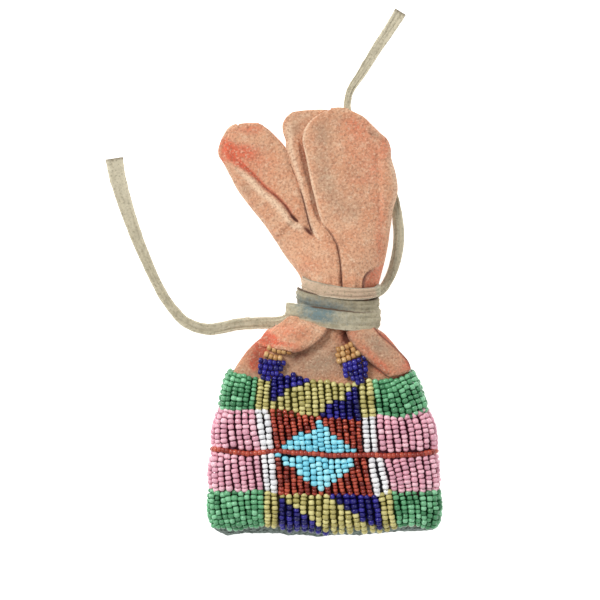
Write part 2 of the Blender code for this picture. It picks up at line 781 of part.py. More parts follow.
def back_lane(lane, colour):
    """A lane of ribbed strings on the back, flat where the bag lies on it."""
    builder = bmesh.new()
    high, low = LANE_BORDER_SHARES[lane]
    row_gap = GAP / 2 / ((high - low) * POUCH_LENGTH)
    outer_rows, inner_rows = [], []
    columns = [(string, RIB_DEPTH) for string in range(BACK_STRINGS + 1)]
    columns += [(string + share, 0) for string in range(BACK_STRINGS) for share in BACK_CREST_SHARES]
    columns.sort()
    for row in range(BACK_ROWS + 1):
        down = between(row_gap, 1 - row_gap, row / BACK_ROWS)
        y = lane_y(lane, 1, down)
        points = half_section(y, False)
        lengths = arc_lengths(points)
        outer, inner = [], []
        for column, groove in columns:
            place = between(lengths[0] + GAP / 2, lengths[-1] - GAP / 2, column / BACK_STRINGS)
            far = skin(y, place, False, GAP + lane_rise(down) - groove)
            far.z = max(far.z, groove)
            outer.append(builder.verts.new(far))
            inner.append(builder.verts.new(skin(y, place, False, GAP)))
        outer_rows.append(outer)
        inner_rows.append(inner)
    grid_faces(builder, outer_rows)
    grid_faces(builder, inner_rows)
    for rim in rims(outer_rows, inner_rows):
        grid_faces(builder, rim)
    return add_mesh(f"back_lane_{lane + 1}", builder, colour, smooth=False)


def rims(outer_rows, inner_rows):
    """The four edges between an outer and an inner grid, as pairs of rows."""
    yield outer_rows[0], inner_rows[0]
    yield outer_rows[-1], inner_rows[-1]
    yield [row[0] for row in outer_rows], [row[0] for row in inner_rows]
    yield [row[-1] for row in outer_rows], [row[-1] for row in inner_rows]


def tube(name, points, radius, colour, resolution=1):
    """A round or flat cord along its points."""
    curve = bpy.data.curves.new(name, "CURVE")
    curve.dimensions = "3D"
    curve.twist_mode = "Z_UP"
    curve.bevel_depth = radius
    curve.bevel_resolution = resolution
    curve.use_fill_caps = True
    spline = curve.splines.new("POLY")
    spline.points.add(len(points) - 1)
    for point, place in zip(spline.points, points):
        point.co = (*place, 1)
    piece = bpy.data.objects.new(name, curve)
    BAG.objects.link(piece)
    finish(piece, colour)
    return piece


def middle_string():
    """The single string of red beads that runs across between lanes 2 and 3."""
    points = []
    for k in range(STRING_STEPS + 1):
        share = k / STRING_STEPS
        dip = 1 - (2 * share - 1) ** 2
        y = BOTTOM_Y + (STRING_Y_SHARE - STRING_SAG_SHARE * dip) * POUCH_LENGTH
        section = half_section(y, True)
        lengths = arc_lengths(section)
        place = between(lengths[0] + GAP, lengths[-1] - GAP, share)
        points.append(skin(y, place, True, GAP + STRING_DIAMETER / 2))
    return tube("middle_bead_string", points, STRING_DIAMETER / 2, "red")


def wrap_y(turn):
    """Place along Y of the thong at a turn round the neck."""
    angle = 2 * math.pi * turn
    hang = WRAP_SLANT * math.cos(angle) + WRAP_SAG * max(math.sin(angle), 0)
    return NECK_HIGH_Y - WRAP_BELOW_MOUTH + WRAP_PITCH * (FRONT_TURN_SHARE - turn) - hang


def wrap_point(turn):
    """Centre of the thong at a turn round the neck."""
    return neck_oval(wrap_y(turn), turn, GAP + THONG_THICKNESS / 2)


def wrap_ends():
    """Each end of the winding and the way it runs out from there."""
    small = NUDGE / WRAP_PITCH
    start = wrap_point(WRAP_START_SHARE)
    out_start = (start - wrap_point(WRAP_START_SHARE - small)).normalized()
    end = wrap_point(WRAP_END_SHARE)
    out_end = (end - wrap_point(WRAP_END_SHARE + small)).normalized()
    return (start, out_start), (end, out_end)


def flat_cord(name, points, width):
    """A flat thong along its points, with its width along the world's Z."""
    piece = tube(name, points, THONG_THICKNESS / 2, "thong")
    piece.data.extrude = (width - THONG_THICKNESS) / 2
    return piece


def tie_wraps():
    """The thong wound round the neck, one unbroken cord with a straight run at each end."""
    (start, out_start), (end, out_end) = wrap_ends()
    turns = WRAP_START_SHARE - WRAP_END_SHARE
    count = round(turns * WRAP_TURN_POINTS)
    centres = [wrap_point(WRAP_START_SHARE - turns * k / count) for k in range(count + 1)]
    points = [start + out_start * THONG_WIDTH] + centres + [end + out_end * THONG_WIDTH]
    least = min(
        (first - second).length - THONG_WIDTH
        for index, first in enumerate(centres)
        for second in centres[index + WRAP_TURN_POINTS // 2 :]
    )
    print(f"least gap of the winding to itself: {least:.5f} m")
    turned = [Vector((point.x, -point.z, point.y)) for point in points]
    piece = flat_cord("tie_wraps", turned, THONG_WIDTH)
    piece.rotation_euler.x = -math.pi / 2
    return piece


def tail_points(start, out, route):
    """Points of a tail at even steps along a smooth curve through its route."""
    first = start + out * (THONG_WIDTH + 2 * GAP)
    second = first + out * THONG_THICKNESS
    rows = [tuple(first), tuple(second)] + route
    fine = [Vector(along_table(rows, k / TAIL_STEPS)) for k in range(TAIL_STEPS + 1)]
    lengths = [0]
    for low, high in zip(fine, fine[1:]):
        lengths.append(lengths[-1] + (high - low).length)
    count = round(lengths[-1] / TAIL_POINT_SPACING)
    print(f"tail length: {lengths[-1]:.4f} m")
    return [point_at_length(fine, lengths, lengths[-1] * k / count) for k in range(count + 1)]


def tie_tail(name, start, out, route, width_shares):
    """One free tail of the thong, laid flat on the surface."""
    piece = flat_cord(name, tail_points(start, out, route), TAIL_WIDTH)
    points = piece.data.splines[0].points
    for index, point in enumerate(points):
        point.radius = along_table(width_shares, index / (len(points) - 1))[0]
        point.tilt = math.pi / 2
    return piece


def build_pouch():
    """The filled hide pouch and what lies on its shoulders."""
    paint_fill()
    hide_panel("pouch_front", True)
    hide_panel("pouch_back", False)
    bottom_seam()
    neck()
    shoulder_sheet("shoulder_pleat_left", LEFT_PLEAT_ROW_SHARES, HIDE_THICKNESS, "hide")
    shoulder_sheet("shoulder_pleat_right", RIGHT_PLEAT_ROW_SHARES, HIDE_THICKNESS, "hide")
    shoulder_sheet("tab_left_gold", LEFT_TAB_GOLD_ROW_SHARES, TAB_THICKNESS, "tan")
    shoulder_sheet("tab_left_blue", LEFT_TAB_BLUE_ROW_SHARES, TAB_THICKNESS, "blue")
    shoulder_sheet("tab_right_gold", RIGHT_TAB_GOLD_ROW_SHARES, TAB_THICKNESS, "tan")
    shoulder_sheet("tab_right_blue", RIGHT_TAB_BLUE_ROW_SHARES, TAB_THICKNESS, "blue")


def build_beadwork():
    """The four lanes on the front, the string between them and the lanes on the back."""
    stepped_lane(0, counted_cells(0, LANE_1_BLUE_TOP, True), counted_cells(0, LANE_1_BLUE_BOTTOM, False))
    diamond_lane(1, counted_cells(1, LANE_2_TURQUOISE_BOTTOM, False))
    middle_string()
    diamond_lane(2, counted_cells(2, LANE_3_TURQUOISE_TOP, True))
    stepped_lane(3, counted_cells(3, LANE_4_BLUE_BOTTOM, False), counted_cells(3, LANE_4_BLUE_TOP, True))
    for lane, colour in enumerate(("green", "pink", "pink", "green")):
        back_lane(lane, colour)


def hang_on_fold(piece, row, height):
    """Hang a lobe on an empty whose X axis is the line that the lobe folds along."""
    left_x, left_y, _, right_x, right_y, _, _ = row
    fold = bpy.data.objects.new(f"{piece.name}_fold", None)
    fold.location = ((left_x + right_x) / 2, (left_y + right_y) / 2, height)
    fold.rotation_euler.z = math.atan2(right_y - left_y, right_x - left_x)
    BAG.objects.link(fold)
    piece.parent = fold
    piece.matrix_parent_inverse = fold.matrix_basis.inverted()


def build_mouth():
    """The hide above the tie; its left and right lobes can be lifted."""
    throat_stems = [stem_row(THROAT_STEM_SHARES, beyond) for beyond in (GAP, STEM_LENGTH)]
    lobe_sheet("mouth_throat", THROAT_ROW_SHARES, "hide", throat_stems)
    lobe_sheet("mouth_lobe_middle", MIDDLE_LOBE_ROW_SHARES, "hide")
    back_stems = [stem_row(BACK_STEM_SHARES, beyond) for beyond in (GAP, STEM_LENGTH)]
    lobe_sheet("mouth_back", MOUTH_BACK_ROW_SHARES, "hide_inner", back_stems)
    left = lobe_sheet("mouth_lobe_left", LEFT_LOBE_ROW_SHARES, "hide")
    hang_on_fold(left, lobe_row(LEFT_LOBE_ROW_SHARES[0]), NECK_Z)
    right_stem = stem_row(RIGHT_STEM_SHARES, GAP)
    right = lobe_sheet("mouth_lobe_right", RIGHT_LOBE_ROW_SHARES, "hide", [right_stem])
    hang_on_fold(right, right_stem, NECK_TOP + LOBE_THICKNESS / 2)


def build_tie():
    """The thong: its winding and its two free tails."""
    (start, out_start), (end, out_end) = wrap_ends()
    tie_wraps()
    tie_tail("tie_tail_left", start, out_start, LEFT_TAIL_POINTS, LEFT_TAIL_WIDTH_SHARES)
    tie_tail("tie_tail_right", end, out_end, RIGHT_TAIL_POINTS, RIGHT_TAIL_WIDTH_SHARES)


empty_scene()
BAG = bag_collection()
build_pouch()
build_beadwork()
build_mouth()
build_tie()
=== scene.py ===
"""Looks of the beaded paint bag: hide pouch, beadwork, thong tie and mouth lobes.

X runs to the right, Y towards the mouth and Z up from the surface that the bag lies on. U and v
are places in the camera's frame, 600 units wide and high with v down, which from_view() turns to
metres. Heights, widths and sizes in tables are in millimetres, and routes in metres.
"""

import logging
import math
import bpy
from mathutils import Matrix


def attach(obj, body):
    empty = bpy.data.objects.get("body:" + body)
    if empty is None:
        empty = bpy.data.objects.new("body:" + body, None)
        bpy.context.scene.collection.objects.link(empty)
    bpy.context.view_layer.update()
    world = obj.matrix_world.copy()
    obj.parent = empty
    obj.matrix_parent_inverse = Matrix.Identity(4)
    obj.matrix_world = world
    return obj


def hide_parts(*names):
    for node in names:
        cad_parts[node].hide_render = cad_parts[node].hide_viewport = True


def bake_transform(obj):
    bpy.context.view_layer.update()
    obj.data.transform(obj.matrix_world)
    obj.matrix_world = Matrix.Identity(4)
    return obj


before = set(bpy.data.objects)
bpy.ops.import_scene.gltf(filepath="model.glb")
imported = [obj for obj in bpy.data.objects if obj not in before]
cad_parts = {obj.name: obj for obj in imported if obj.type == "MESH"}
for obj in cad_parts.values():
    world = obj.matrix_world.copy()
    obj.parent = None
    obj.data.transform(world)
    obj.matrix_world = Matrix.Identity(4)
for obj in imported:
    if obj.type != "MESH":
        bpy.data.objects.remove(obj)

import zlib
from dataclasses import dataclass, field
from enum import Enum
from functools import partial
from itertools import groupby
from typing import Callable, Sequence

import bpy
import numpy as np
from mathutils import Vector, noise

LOG = logging.getLogger("beaded_paint_bag")

MM = 0.001
TINY = 1e-15
FRAME_SIDE = 600
VIEW_SCALE = 3600.0
VIEW_ORIGIN_U = 324.5
VIEW_ORIGIN_V = 322.5

Rows = Sequence[Sequence[float]]
Array = np.ndarray
Piece = bpy.types.Object
Finish = bpy.types.Material


# Small tools


def from_view(u, v):
    """Turn places in the camera's frame to X and Y in metres."""
    return (u - VIEW_ORIGIN_U) / VIEW_SCALE, (VIEW_ORIGIN_V - v) / VIEW_SCALE


def to_view(x, y):
    """Turn X and Y in metres to places in the camera's frame."""
    return x * VIEW_SCALE + VIEW_ORIGIN_U, VIEW_ORIGIN_V - y * VIEW_SCALE


def hex_linear(colour: str) -> tuple[float, float, float, float]:
    """Turn an sRGB hex colour to linear RGBA.

    Args:
        colour: Six hex digits after a hash sign.

    Returns:
        Linear red, green and blue, with an alpha of 1.
    """
    parts = [int(colour[k : k + 2], 16) / 255 for k in (1, 3, 5)]
    return *(c / 12.92 if c <= 0.04045 else ((c + 0.055) / 1.055) ** 2.4 for c in parts), 1.0


def mix(low, high, share):
    """Go from low to high by a share."""
    return low + (high - low) * share


def ramp(low: float, high: float, value):
    """Rise smoothly from 0 at low to 1 at high."""
    share = np.clip((value - low) / (high - low), 0, 1)
    return share * share * (3 - 2 * share)


def bell(distance, width: float):
    """Fall smoothly from 1 at no distance to near 0 at twice the width."""
    return np.exp(-((distance / width) ** 2))


def unit(vectors: Array) -> Array:
    """Bring vectors to a length of 1."""
    return vectors / (np.linalg.norm(vectors, axis=-1, keepdims=True) + TINY)


def at_table(place, table: Rows):
    """Read a table of places and values, straight between its rows."""
    return np.interp(place, *np.transpose(table))


def along_table(rows: Rows, share: float) -> Array:
    """Give a smooth row at a share from 0 to 1 of a table's rows, through every row."""
    table = np.asarray(rows, dtype=float)
    span = len(table) - 1
    place = min(max(share, 0.0), 1.0) * span
    index = min(int(place), span - 1)
    local = place - index
    before, start = table[max(index - 1, 0)], table[index]
    end, after = table[index + 1], table[min(index + 2, span)]
    square = (2 * before - 5 * start + 4 * end - after) * local**2
    cube = (3 * start - before - 3 * end + after) * local**3
    return start + ((end - before) * local + square + cube) / 2


def path_lengths(points: Array) -> Array:
    """Length along a path to each of its points."""
    return np.concatenate([[0], np.cumsum(np.linalg.norm(np.diff(points, axis=0), axis=1))])


def on_path(points: Array, lengths: Array, place) -> Array:
    """Points, or other rows of three, at one or more lengths along a path."""
    return np.stack([np.interp(place, lengths, column) for column in points.T], axis=-1)


def soft_noise(points: Array, size: float, seed: float) -> Array:
    """Smooth noise from -1 to 1 at each point.

    Args:
        points: Places in metres, of any shape that ends in 3.
        size: Size of a lump, in millimetres.
        seed: Shift that makes one field unlike another.

    Returns:
        The noise at each point.
    """
    values = [noise.noise(Vector(place)) for place in points.reshape(-1, 3) / (size * MM) + seed]
    return np.array(values).reshape(points.shape[:-1])


def blobs(u, v, *table: Sequence[float]):
    """Sum of soft spots in the view.

    Args:
        u: Places to the right in the camera's frame.
        v: Places down the camera's frame.
        table: Each row is the u and v of a centre, two radii, a turn in degrees and a strength.

    Returns:
        The sum of the spots at each place.
    """
    total = np.zeros(np.shape(u))
    for centre_u, centre_v, wide, high, turn, strength in table:
        cos, sin = math.cos(math.radians(turn)), math.sin(math.radians(turn))
        across = ((u - centre_u) * cos + (v - centre_v) * sin) / wide
        along = ((v - centre_v) * cos - (u - centre_u) * sin) / high
        total = total + strength * np.exp(-(across**2) - along**2)
    return total


def distance_to_line(u, v, line: Rows):
    """Compare places with a line through points in the view.

    Args:
        u: Places to the right in the camera's frame.
        v: Places down the camera's frame.
        line: The u and v of each of the line's points.

    Returns:
        The distance to the line, the share along it and the side, 1 on its right and -1 on its left.
    """
    least, share, side = np.full(np.shape(u), np.inf), np.zeros(np.shape(u)), np.zeros(np.shape(u))
    for index, (start, end) in enumerate(zip(line, line[1:])):
        run_u, run_v = end[0] - start[0], end[1] - start[1]
        local = ((u - start[0]) * run_u + (v - start[1]) * run_v) / (run_u**2 + run_v**2)
        local = np.clip(local, 0, 1)
        off_u, off_v = u - start[0] - local * run_u, v - start[1] - local * run_v
        distance = np.hypot(off_u, off_v)
        nearer = distance < least
        least = np.where(nearer, distance, least)
        share = np.where(nearer, (index + local) / (len(line) - 1), share)
        side = np.where(nearer, np.sign(run_u * off_v - run_v * off_u), side)
    return least, share, side


def join(tree, node, inputs: dict) -> None:
    """Set a node's inputs, by name or number, to values, other nodes or their outputs."""
    for socket, value in inputs.items():
        if isinstance(value, bpy.types.Node):
            value = value.outputs[0]
        if isinstance(value, bpy.types.NodeSocket):
            tree.links.new(value, node.inputs[socket])
        else:
            node.inputs[socket].default_value = value


def add_node(tree, kind: str, inputs: dict | None = None, **settings):
    """Add a node to a tree.

    Args:
        tree: A material's or a Geometry Nodes tree.
        kind: The node's type.
        inputs: Values, nodes or outputs of nodes, by the input's name or number.
        settings: Values of the node's own properties.

    Returns:
        The new node.
    """
    node = tree.nodes.new(kind)
    for name, value in settings.items():
        setattr(node, name, value)
    join(tree, node, inputs or {})
    return node


def new_material(name: str):
    """Start a material, and give it with its node tree and its Principled shader."""
    material = bpy.data.materials.new(name)
    material.use_nodes = True
    return material, material.node_tree, material.node_tree.nodes["Principled BSDF"]


def add_object(name: str, data) -> Piece:
    """Add an object to the scene."""
    made = bpy.data.objects.new(name, data)
    bpy.context.scene.collection.objects.link(made)
    return made


def mesh_piece(name: str, vertices, faces, material, marks: dict) -> Piece:
    """Make a smooth mesh piece.

    Args:
        name: The piece's name.
        vertices: Places in metres.
        faces: Rows of vertex numbers, wound so that they face out.
        material: The piece's finish.
        marks: A value or a linear colour for each vertex, by the attribute's name.

    Returns:
        The piece.
    """
    mesh = bpy.data.meshes.new(name)
    mesh.from_pydata(np.asarray(vertices).tolist(), [], faces)
    for mark, values in marks.items():
        values = np.asarray(values, dtype=np.float32)
        kind, key = ("FLOAT_COLOR", "color") if values.ndim > 1 else ("FLOAT", "value")
        mesh.attributes.new(mark, kind, "POINT").data.foreach_set(key, values.ravel())
    mesh.shade_smooth()
    mesh.materials.append(material)
    return add_object(name, mesh)


def strip_faces(low: Array, high: Array, closed: bool) -> list[list[int]]:
    """Four-sided faces between two rows of vertex numbers."""
    corners = np.stack([low, np.roll(low, -1), np.roll(high, -1), high], axis=1)
    return corners[: None if closed else -1].tolist()


def thick_sheet(name: str, top: Array, thickness: float, material, marks: dict):
    """Make a closed sheet with a rounded edge under a grid of points.

    Args:
        name: The piece's name.
        top: The upper face, a grid of places in metres that runs anticlockwise seen from above.
        thickness: The sheet's thickness in metres.
        material: The piece's finish.
        marks: Values at each point of the grid, by the attribute's name.

    Returns:
        The piece.
    """
    number = np.arange(top[..., 0].size).reshape(top.shape[:2])
    ring = np.concatenate([number[0], number[1:, -1], number[-1, -2::-1], number[-2:0:-1, 0]])
    normals = unit(np.cross(np.gradient(top, axis=1), np.gradient(top, axis=0))).reshape(-1, 3)
    top = top.reshape(-1, 3)
    bottom = top - normals * thickness
    edge, normal = top[ring], normals[ring]
    out = unit(np.cross(np.roll(edge, -1, axis=0) - np.roll(edge, 1, axis=0), normal))
    rims = []
    for angle in np.linspace(0, math.pi, RIM_STEPS)[1:-1]:
        lean = normal * math.cos(angle) + out * math.sin(angle)
        rims.append((edge + bottom[ring]) / 2 + lean * thickness / 2)
    faces = []
    for low, high in zip(number, number[1:]):
        faces += strip_faces(low, high, False) + strip_faces(high + number.size, low + number.size, False)
    rim_numbers = 2 * number.size + np.arange(len(rims) * len(ring)).reshape(len(rims), -1)
    chain = [ring, *rim_numbers, ring + number.size]
    for upper, lower in zip(chain, chain[1:]):
        faces += strip_faces(lower, upper, True)
    spread = {}
    for mark, values in marks.items():
        flat = values.ravel()
        spread[mark] = np.concatenate([flat, flat, *[flat[ring]] * len(rims)])
    return mesh_piece(name, np.concatenate([top, bottom, *rims]), faces, material, spread)


def loft(name: str, rings: Array, material, marks: dict) -> Piece:
    """Make a closed tube through rings of points, with a flat fan at each end.

    Args:
        name: The piece's name.
        rings: Rows of places in metres, each row round the tube.
        material: The piece's finish.
        marks: Values or linear colours at each point, by the attribute's name.

    Returns:
        The piece.
    """
    number = np.arange(rings[..., 0].size).reshape(rings.shape[:2])
    faces = []
    for low, high in zip(number, number[1:]):
        faces += strip_faces(low, high, True)
    fans = ((np.roll(number[0], -1), number[0]), (number[-1], np.roll(number[-1], -1)))
    for hub, (start, end) in enumerate(fans, number.size):
        faces += np.stack([start, end, np.full(len(start), hub)], axis=1).tolist()

    def with_hubs(values: Array) -> Array:
        """Every point's values, then the means of both end rings."""
        ends = values[:1].mean(axis=1), values[-1:].mean(axis=1)
        return np.concatenate([values.reshape(number.size, *values.shape[2:]), *ends])

    spread = {mark: with_hubs(values) for mark, values in marks.items()}
    return mesh_piece(name, with_hubs(rings), faces, material, spread)


def dress(piece: Piece, slot: str, *nodes: str) -> None:
    """Hide the solids that a piece stands for."""
    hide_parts(*nodes)


def hang(piece: Piece, slot: str, *nodes: str) -> None:
    """Fix a piece to the pouch and dress it."""
    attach(piece, "pouch")
    dress(piece, slot, *nodes)


# Finishes


class FinishTree:
    """A finish's node tree, with the kinds of layer that the finishes share."""

    def __init__(self, name: str) -> None:
        """Start a material with its Principled shader."""
        self.material, self.tree, self.shader = new_material(name)
        self.add = partial(add_node, self.tree)
        self.place = self.add("ShaderNodeTexCoord").outputs["Object"]

    def noise(self, size: float, detail: float = 3.0, shift: float = 0.0):
        """Noise with lumps of a size in millimetres."""
        moved = self.add("ShaderNodeVectorMath", {0: self.place, 1: (shift, shift, 0)}, operation="ADD")
        kit = {"Vector": moved, "Scale": 1 / (size * MM), "Detail": detail, "Roughness": 0.6}
        return self.add("ShaderNodeTexNoise", kit)

    def spread(self, value, low: float, high: float, most: float = 1.0):
        """Spread part of a field smoothly over 0 to most."""
        kit = {"Value": value, "From Min": low, "From Max": high, "To Min": 0.0, "To Max": most}
        return self.add("ShaderNodeMapRange", kit, interpolation_type="SMOOTHSTEP")

    def fleck(self, size: float, low: float, high: float, most=1.0, detail=3.0, shift=0.0):
        """Flecks where noise of a size in millimetres passes from low to high."""
        return self.spread(self.noise(size, detail, shift), low, high, most)

    def math(self, operation: str, *values):
        """One sum of values, nodes or outputs."""
        return self.add("ShaderNodeMath", dict(enumerate(values)), operation=operation)

    def mark(self, name: str, size: float, ragged: float):
        """A mark's value, with its border broken up by noise of a size in millimetres."""
        value = self.add("ShaderNodeAttribute", attribute_name=name).outputs["Fac"]
        rough = self.math("MULTIPLY_ADD", self.noise(size, 4.0, 0.013), ragged, -ragged / 2)
        summed = self.math("ADD", value, rough)
        return self.spread(self.math("MULTIPLY", summed, self.spread(value, 0.0, 0.12)), 0.05, 0.95)

    def layers(self, below, *above):
        """Lay pairs of a colour and a factor over a colour; a colour is a hex colour or a node."""
        for colour, factor in above:
            tones = [hex_linear(c) if isinstance(c, str) else c for c in (below, colour)]
            kit = {0: factor, 6: tones[0], 7: tones[1]}
            below = self.add("ShaderNodeMix", kit, data_type="RGBA").outputs[2]
        return below

    def finish(self, colour, height, distance: float, values: dict) -> Finish:
        """Join a colour and a relief in millimetres to the shader and set its other values."""
        bump = self.add("ShaderNodeBump", {"Strength": 0.9, "Distance": distance * MM, "Height": height})
        join(self.tree, self.shader, {"Base Color": colour, "Normal": bump, **values})
        return self.material


@dataclass(frozen=True)
class SmokedHide:
    """Brain-tanned deer hide, smoked and rubbed with red ochre: a matt nap with a pebbly grain,
    pink and grey mottles, red where pigment got on it, dark with dirt, and painted shade in its
    creases, between its folds and under the beads."""

    name: str = "smoked_ochred_hide"
    base: str = "#deac89"
    pink: str = "#da9873"
    pale: str = "#f1d1b1"
    grey: str = "#ad957c"
    red: str = "#dc6a4d"
    # Colour of dirt and of painted shade in creases, gaps and under folds
    soil: str = "#5e3326"
    seam: str = "#7d8b84"
    seam_dark: str = "#39463f"
    speck: str = "#a06b53"
    grain: float = 0.8
    mottle: float = 5.0
    bump: float = 0.3

    def build(self) -> Finish:
        """Make the hide's material."""
        tree = FinishTree(self.name)
        fleck, mark = tree.fleck, tree.mark
        # Painted shade, tinted by the bead colours, for the hide seen between the beads
        gap_shade = tree.add("ShaderNodeAttribute", attribute_name="gap_tint").outputs["Color"]
        welt = tree.layers(self.seam, (self.seam_dark, fleck(0.9, 0.4, 0.64, 1.0, 4.0, 0.23)))
        colour = tree.layers(
            self.base,
            (self.pink, fleck(self.mottle, 0.36, 0.66, 0.8)),
            (self.pale, fleck(self.mottle * 0.6, 0.52, 0.8, 0.6, 2.0, 0.03)),
            (self.grey, fleck(self.mottle * 1.5, 0.52, 0.8, 0.45, 4.0, 0.07)),
            (self.grey, mark("grey", 1.8, 0.45)),
            (self.pale, mark("pale", 1.6, 0.3)),
            (self.red, mark("red", 1.3, 0.55)),
            (self.speck, fleck(self.grain * 0.8, 0.42, 0.68, 0.62, 3.0, 0.11)),
            (self.pale, fleck(self.grain * 0.75, 0.5, 0.72, 0.55, 3.0, 0.17)),
            # Dirt and painted shade in one dark mark, then painted shade under the beads
            (self.soil, mark("soil", 1.2, 0.35)),
            (gap_shade, mark("under", 1.0, 0.0)),
            (welt, mark("seam", 1.5, 0.1)),
        )
        kit = {"Vector": tree.place, "Scale": 1 / (self.grain * MM), "Smoothness": 0.6}
        pebbles = tree.add("ShaderNodeTexVoronoi", kit, feature="SMOOTH_F1").outputs["Distance"]
        height = tree.math("MULTIPLY_ADD", tree.noise(self.grain * 0.35, 3.0, 0.19), 0.5, pebbles)
        values = {"Roughness": 0.92, "Specular IOR Level": 0.22, "Sheen Weight": 0.1, "Sheen Roughness": 0.6}
        return tree.finish(colour, height, self.bump, values)


@dataclass(frozen=True)
class RolledThong:
    """Narrow strip of tanned hide, rolled and handled: dull khaki with paler fuzzy edges, long
    fine creases, and teal and pink stains where it lay against the paint and the beads, with
    painted shade in its creases and between its turns."""

    name: str = "rolled_thong"
    base: str = "#bab094"
    dark: str = "#80775e"
    pale: str = "#dcd3ba"
    teal: str = "#74888a"
    pink: str = "#cda68b"
    # Colour of the painted shade in creases and between turns, and of dirt
    crease: str = "#5d4a3a"

    def build(self) -> Finish:
        """Make the thong's material."""
        tree = FinishTree(self.name)
        colour = tree.layers(
            self.base,
            (self.dark, tree.fleck(2.6, 0.42, 0.7, 0.55)),
            (self.teal, tree.mark("teal", 1.1, 1.1)),
            (self.pink, tree.mark("pink", 1.6, 0.7)),
            (self.pale, tree.mark("pale", 1.6, 0.6)),
            (self.dark, tree.fleck(0.6, 0.5, 0.74, 0.6, 2.0, 0.05)),
            (self.pale, tree.fleck(0.45, 0.58, 0.78, 0.45, 2.0, 0.09)),
            # Dirt and painted shade along the creases and the turns' edges
            (self.crease, tree.mark("soil", 1.0, 0.4)),
        )
        height = tree.math("ADD", tree.noise(0.7), tree.noise(0.25, 2.0))
        values = {"Roughness": 0.9, "Specular IOR Level": 0.2, "Sheen Weight": 0.15}
        return tree.finish(colour, height, 0.14, values)


@dataclass(frozen=True)
class SeedBeadGlass:
    """Drawn glass seed bead, tumbled and polished: a soft gloss, with a tone of its own in each
    bead because old beads come from many canes."""

    name: str
    dark: str
    base: str
    light: str
    roughness: float
    coat: float

    def build(self) -> Finish:
        """Make the bead glass."""
        material, tree, shader = new_material(self.name)
        tone = add_node(tree, "ShaderNodeAttribute", attribute_name="bead_tone").outputs["Fac"]
        tones = add_node(tree, "ShaderNodeValToRGB", {"Fac": tone})
        stops = tones.color_ramp.elements
        stops[0].color, stops[1].color = hex_linear(self.dark), hex_linear(self.light)
        stops.new(0.45).color = hex_linear(self.base)
        values = {"Base Color": tones, "Roughness": self.roughness, "IOR": 1.45}
        join(tree, shader, {**values, "Coat Weight": self.coat, "Coat Roughness": 0.12})
        return material


@dataclass(frozen=True)
class DryPigment:
    """Ground red ochre, packed by hand: dead matt, with lumps, and painted shade in the hollows between them.
    """

    name: str = "dry_red_ochre"
    base: str = "#8e3a24"
    dark: str = "#5d2013"

    def build(self) -> Finish:
        """Make the pigment's material."""
        tree = FinishTree(self.name)
        lumps = tree.noise(1.5, 5.0)
        # Painted shade: darker where the lump noise, which also drives the bump, is low
        colour = tree.layers(self.dark, (self.base, tree.spread(lumps, 0.35, 0.65)))
        return tree.finish(colour, lumps, 0.2, {"Roughness": 1.0})


class BeadColour(Enum):
    """Finish and slot name of each colour of bead."""

    GREEN = "green"
    PINK = "pink"
    WHITE = "white"
    RED = "red"
    TURQUOISE = "turquoise"
    GOLD = "gold"
    TAN = "tan"
    BLUE = "blue"
    STRING_RED = "string_red"

    @property
    def slot(self) -> str:
        """Name of the beads' material slot."""
        return f"{self.value.split('_')[-1]}_beads"


@dataclass(frozen=True)
class BeadStock:
    """One colour of bead as bought: its glass, its diameter and how many fill a lane's height."""

    glass: SeedBeadGlass
    diameter: float
    per_lane: float


BEAD_STOCK = {
    BeadColour(colour): BeadStock(
        SeedBeadGlass(f"{glass}_bead_glass", *tones, roughness, coat), diameter, per_lane
    )
    for colour, glass, tones, roughness, coat, diameter, per_lane in (
        ("green", "green", ("#3c7b51", "#60a876", "#8cd0a1"), 0.3, 0.25, 1.66, 8),
        ("pink", "pink", ("#d99fb0", "#efb0c0", "#fbccd7"), 0.32, 0.25, 1.74, 8),
        ("white", "white", ("#e4e4e7", "#f3f3f5", "#ffffff"), 0.3, 0.25, 1.78, 8),
        ("red", "red", ("#6f2219", "#a63d2e", "#cf5e45"), 0.28, 0.35, 1.38, 10.5),
        ("turquoise", "turquoise", ("#78d3e9", "#90e8fb", "#b0f5ff"), 0.3, 0.25, 1.74, 8),
        ("gold", "gold", ("#aca25c", "#c9bf7a", "#e5dc96"), 0.32, 0.25, 1.64, 8.6),
        ("tan", "tan", ("#a8743f", "#c3925a", "#dab47c"), 0.35, 0.2, 1.66, 8),
        ("blue", "blue", ("#0f0c52", "#1c1774", "#37309c"), 0.3, 0.2, 1.6, 9.2),
        ("string_red", "orange_red", ("#84291e", "#a83b2b", "#ca5c42"), 0.3, 0.3, 1.54, 8),
    )
}
HOLE_DIAMETER = 0.3


# The pouch's shape, the same as the solids'

GAP = 0.0003
POUCH_LENGTH = 0.0578
POUCH_HALF_WIDTH = 0.0306
POUCH_TOP = 0.0130
POUCH_BACK = 0.0022
NECK_LENGTH = 0.0130
BOTTOM_Y = -0.05945
NECK_LOW_Y = BOTTOM_Y + POUCH_LENGTH
NECK_HIGH_Y = NECK_LOW_Y + NECK_LENGTH
NECK_HALF_HEIGHT = 0.0052
NECK_Z = POUCH_BACK + NECK_HALF_HEIGHT - GAP
NECK_HALF_WIDTHS = (0.0110, 0.0100)
NECK_MIDDLES = (0.0025, 0.0040)
HIDE_THICKNESS = 0.0012
SECTION_ROWS = (
    (0, -0.92, 0.92, 0.36, 0.26, 0), (0.045, -0.97, 0.97, 0.56, 0.34, 0), (0.131, -1, 1, 0.76, 0.42, 0),
    (0.304, -0.993, 0.987, 0.93, 0.48, 0), (0.512, -0.961, 0.957, 1, 0.51, 0),
    (0.607, -0.915, 0.89, 1, 0.52, 0), (0.789, -0.83, 0.765, 0.97, 0.52, 0),
    (0.86, -0.75, 0.715, 0.94, 0.52, 0), (0.94, -0.61, 0.61, 0.92, 0.52, 0),
    (1, -0.42, 0.49, 0.93, 0.52, 0),
)
SECTION_ANGLES = np.linspace(math.pi, 0, 65)
NUDGE = 0.0001
FLOOR_GAP = 0.05
RIM_STEPS = 5


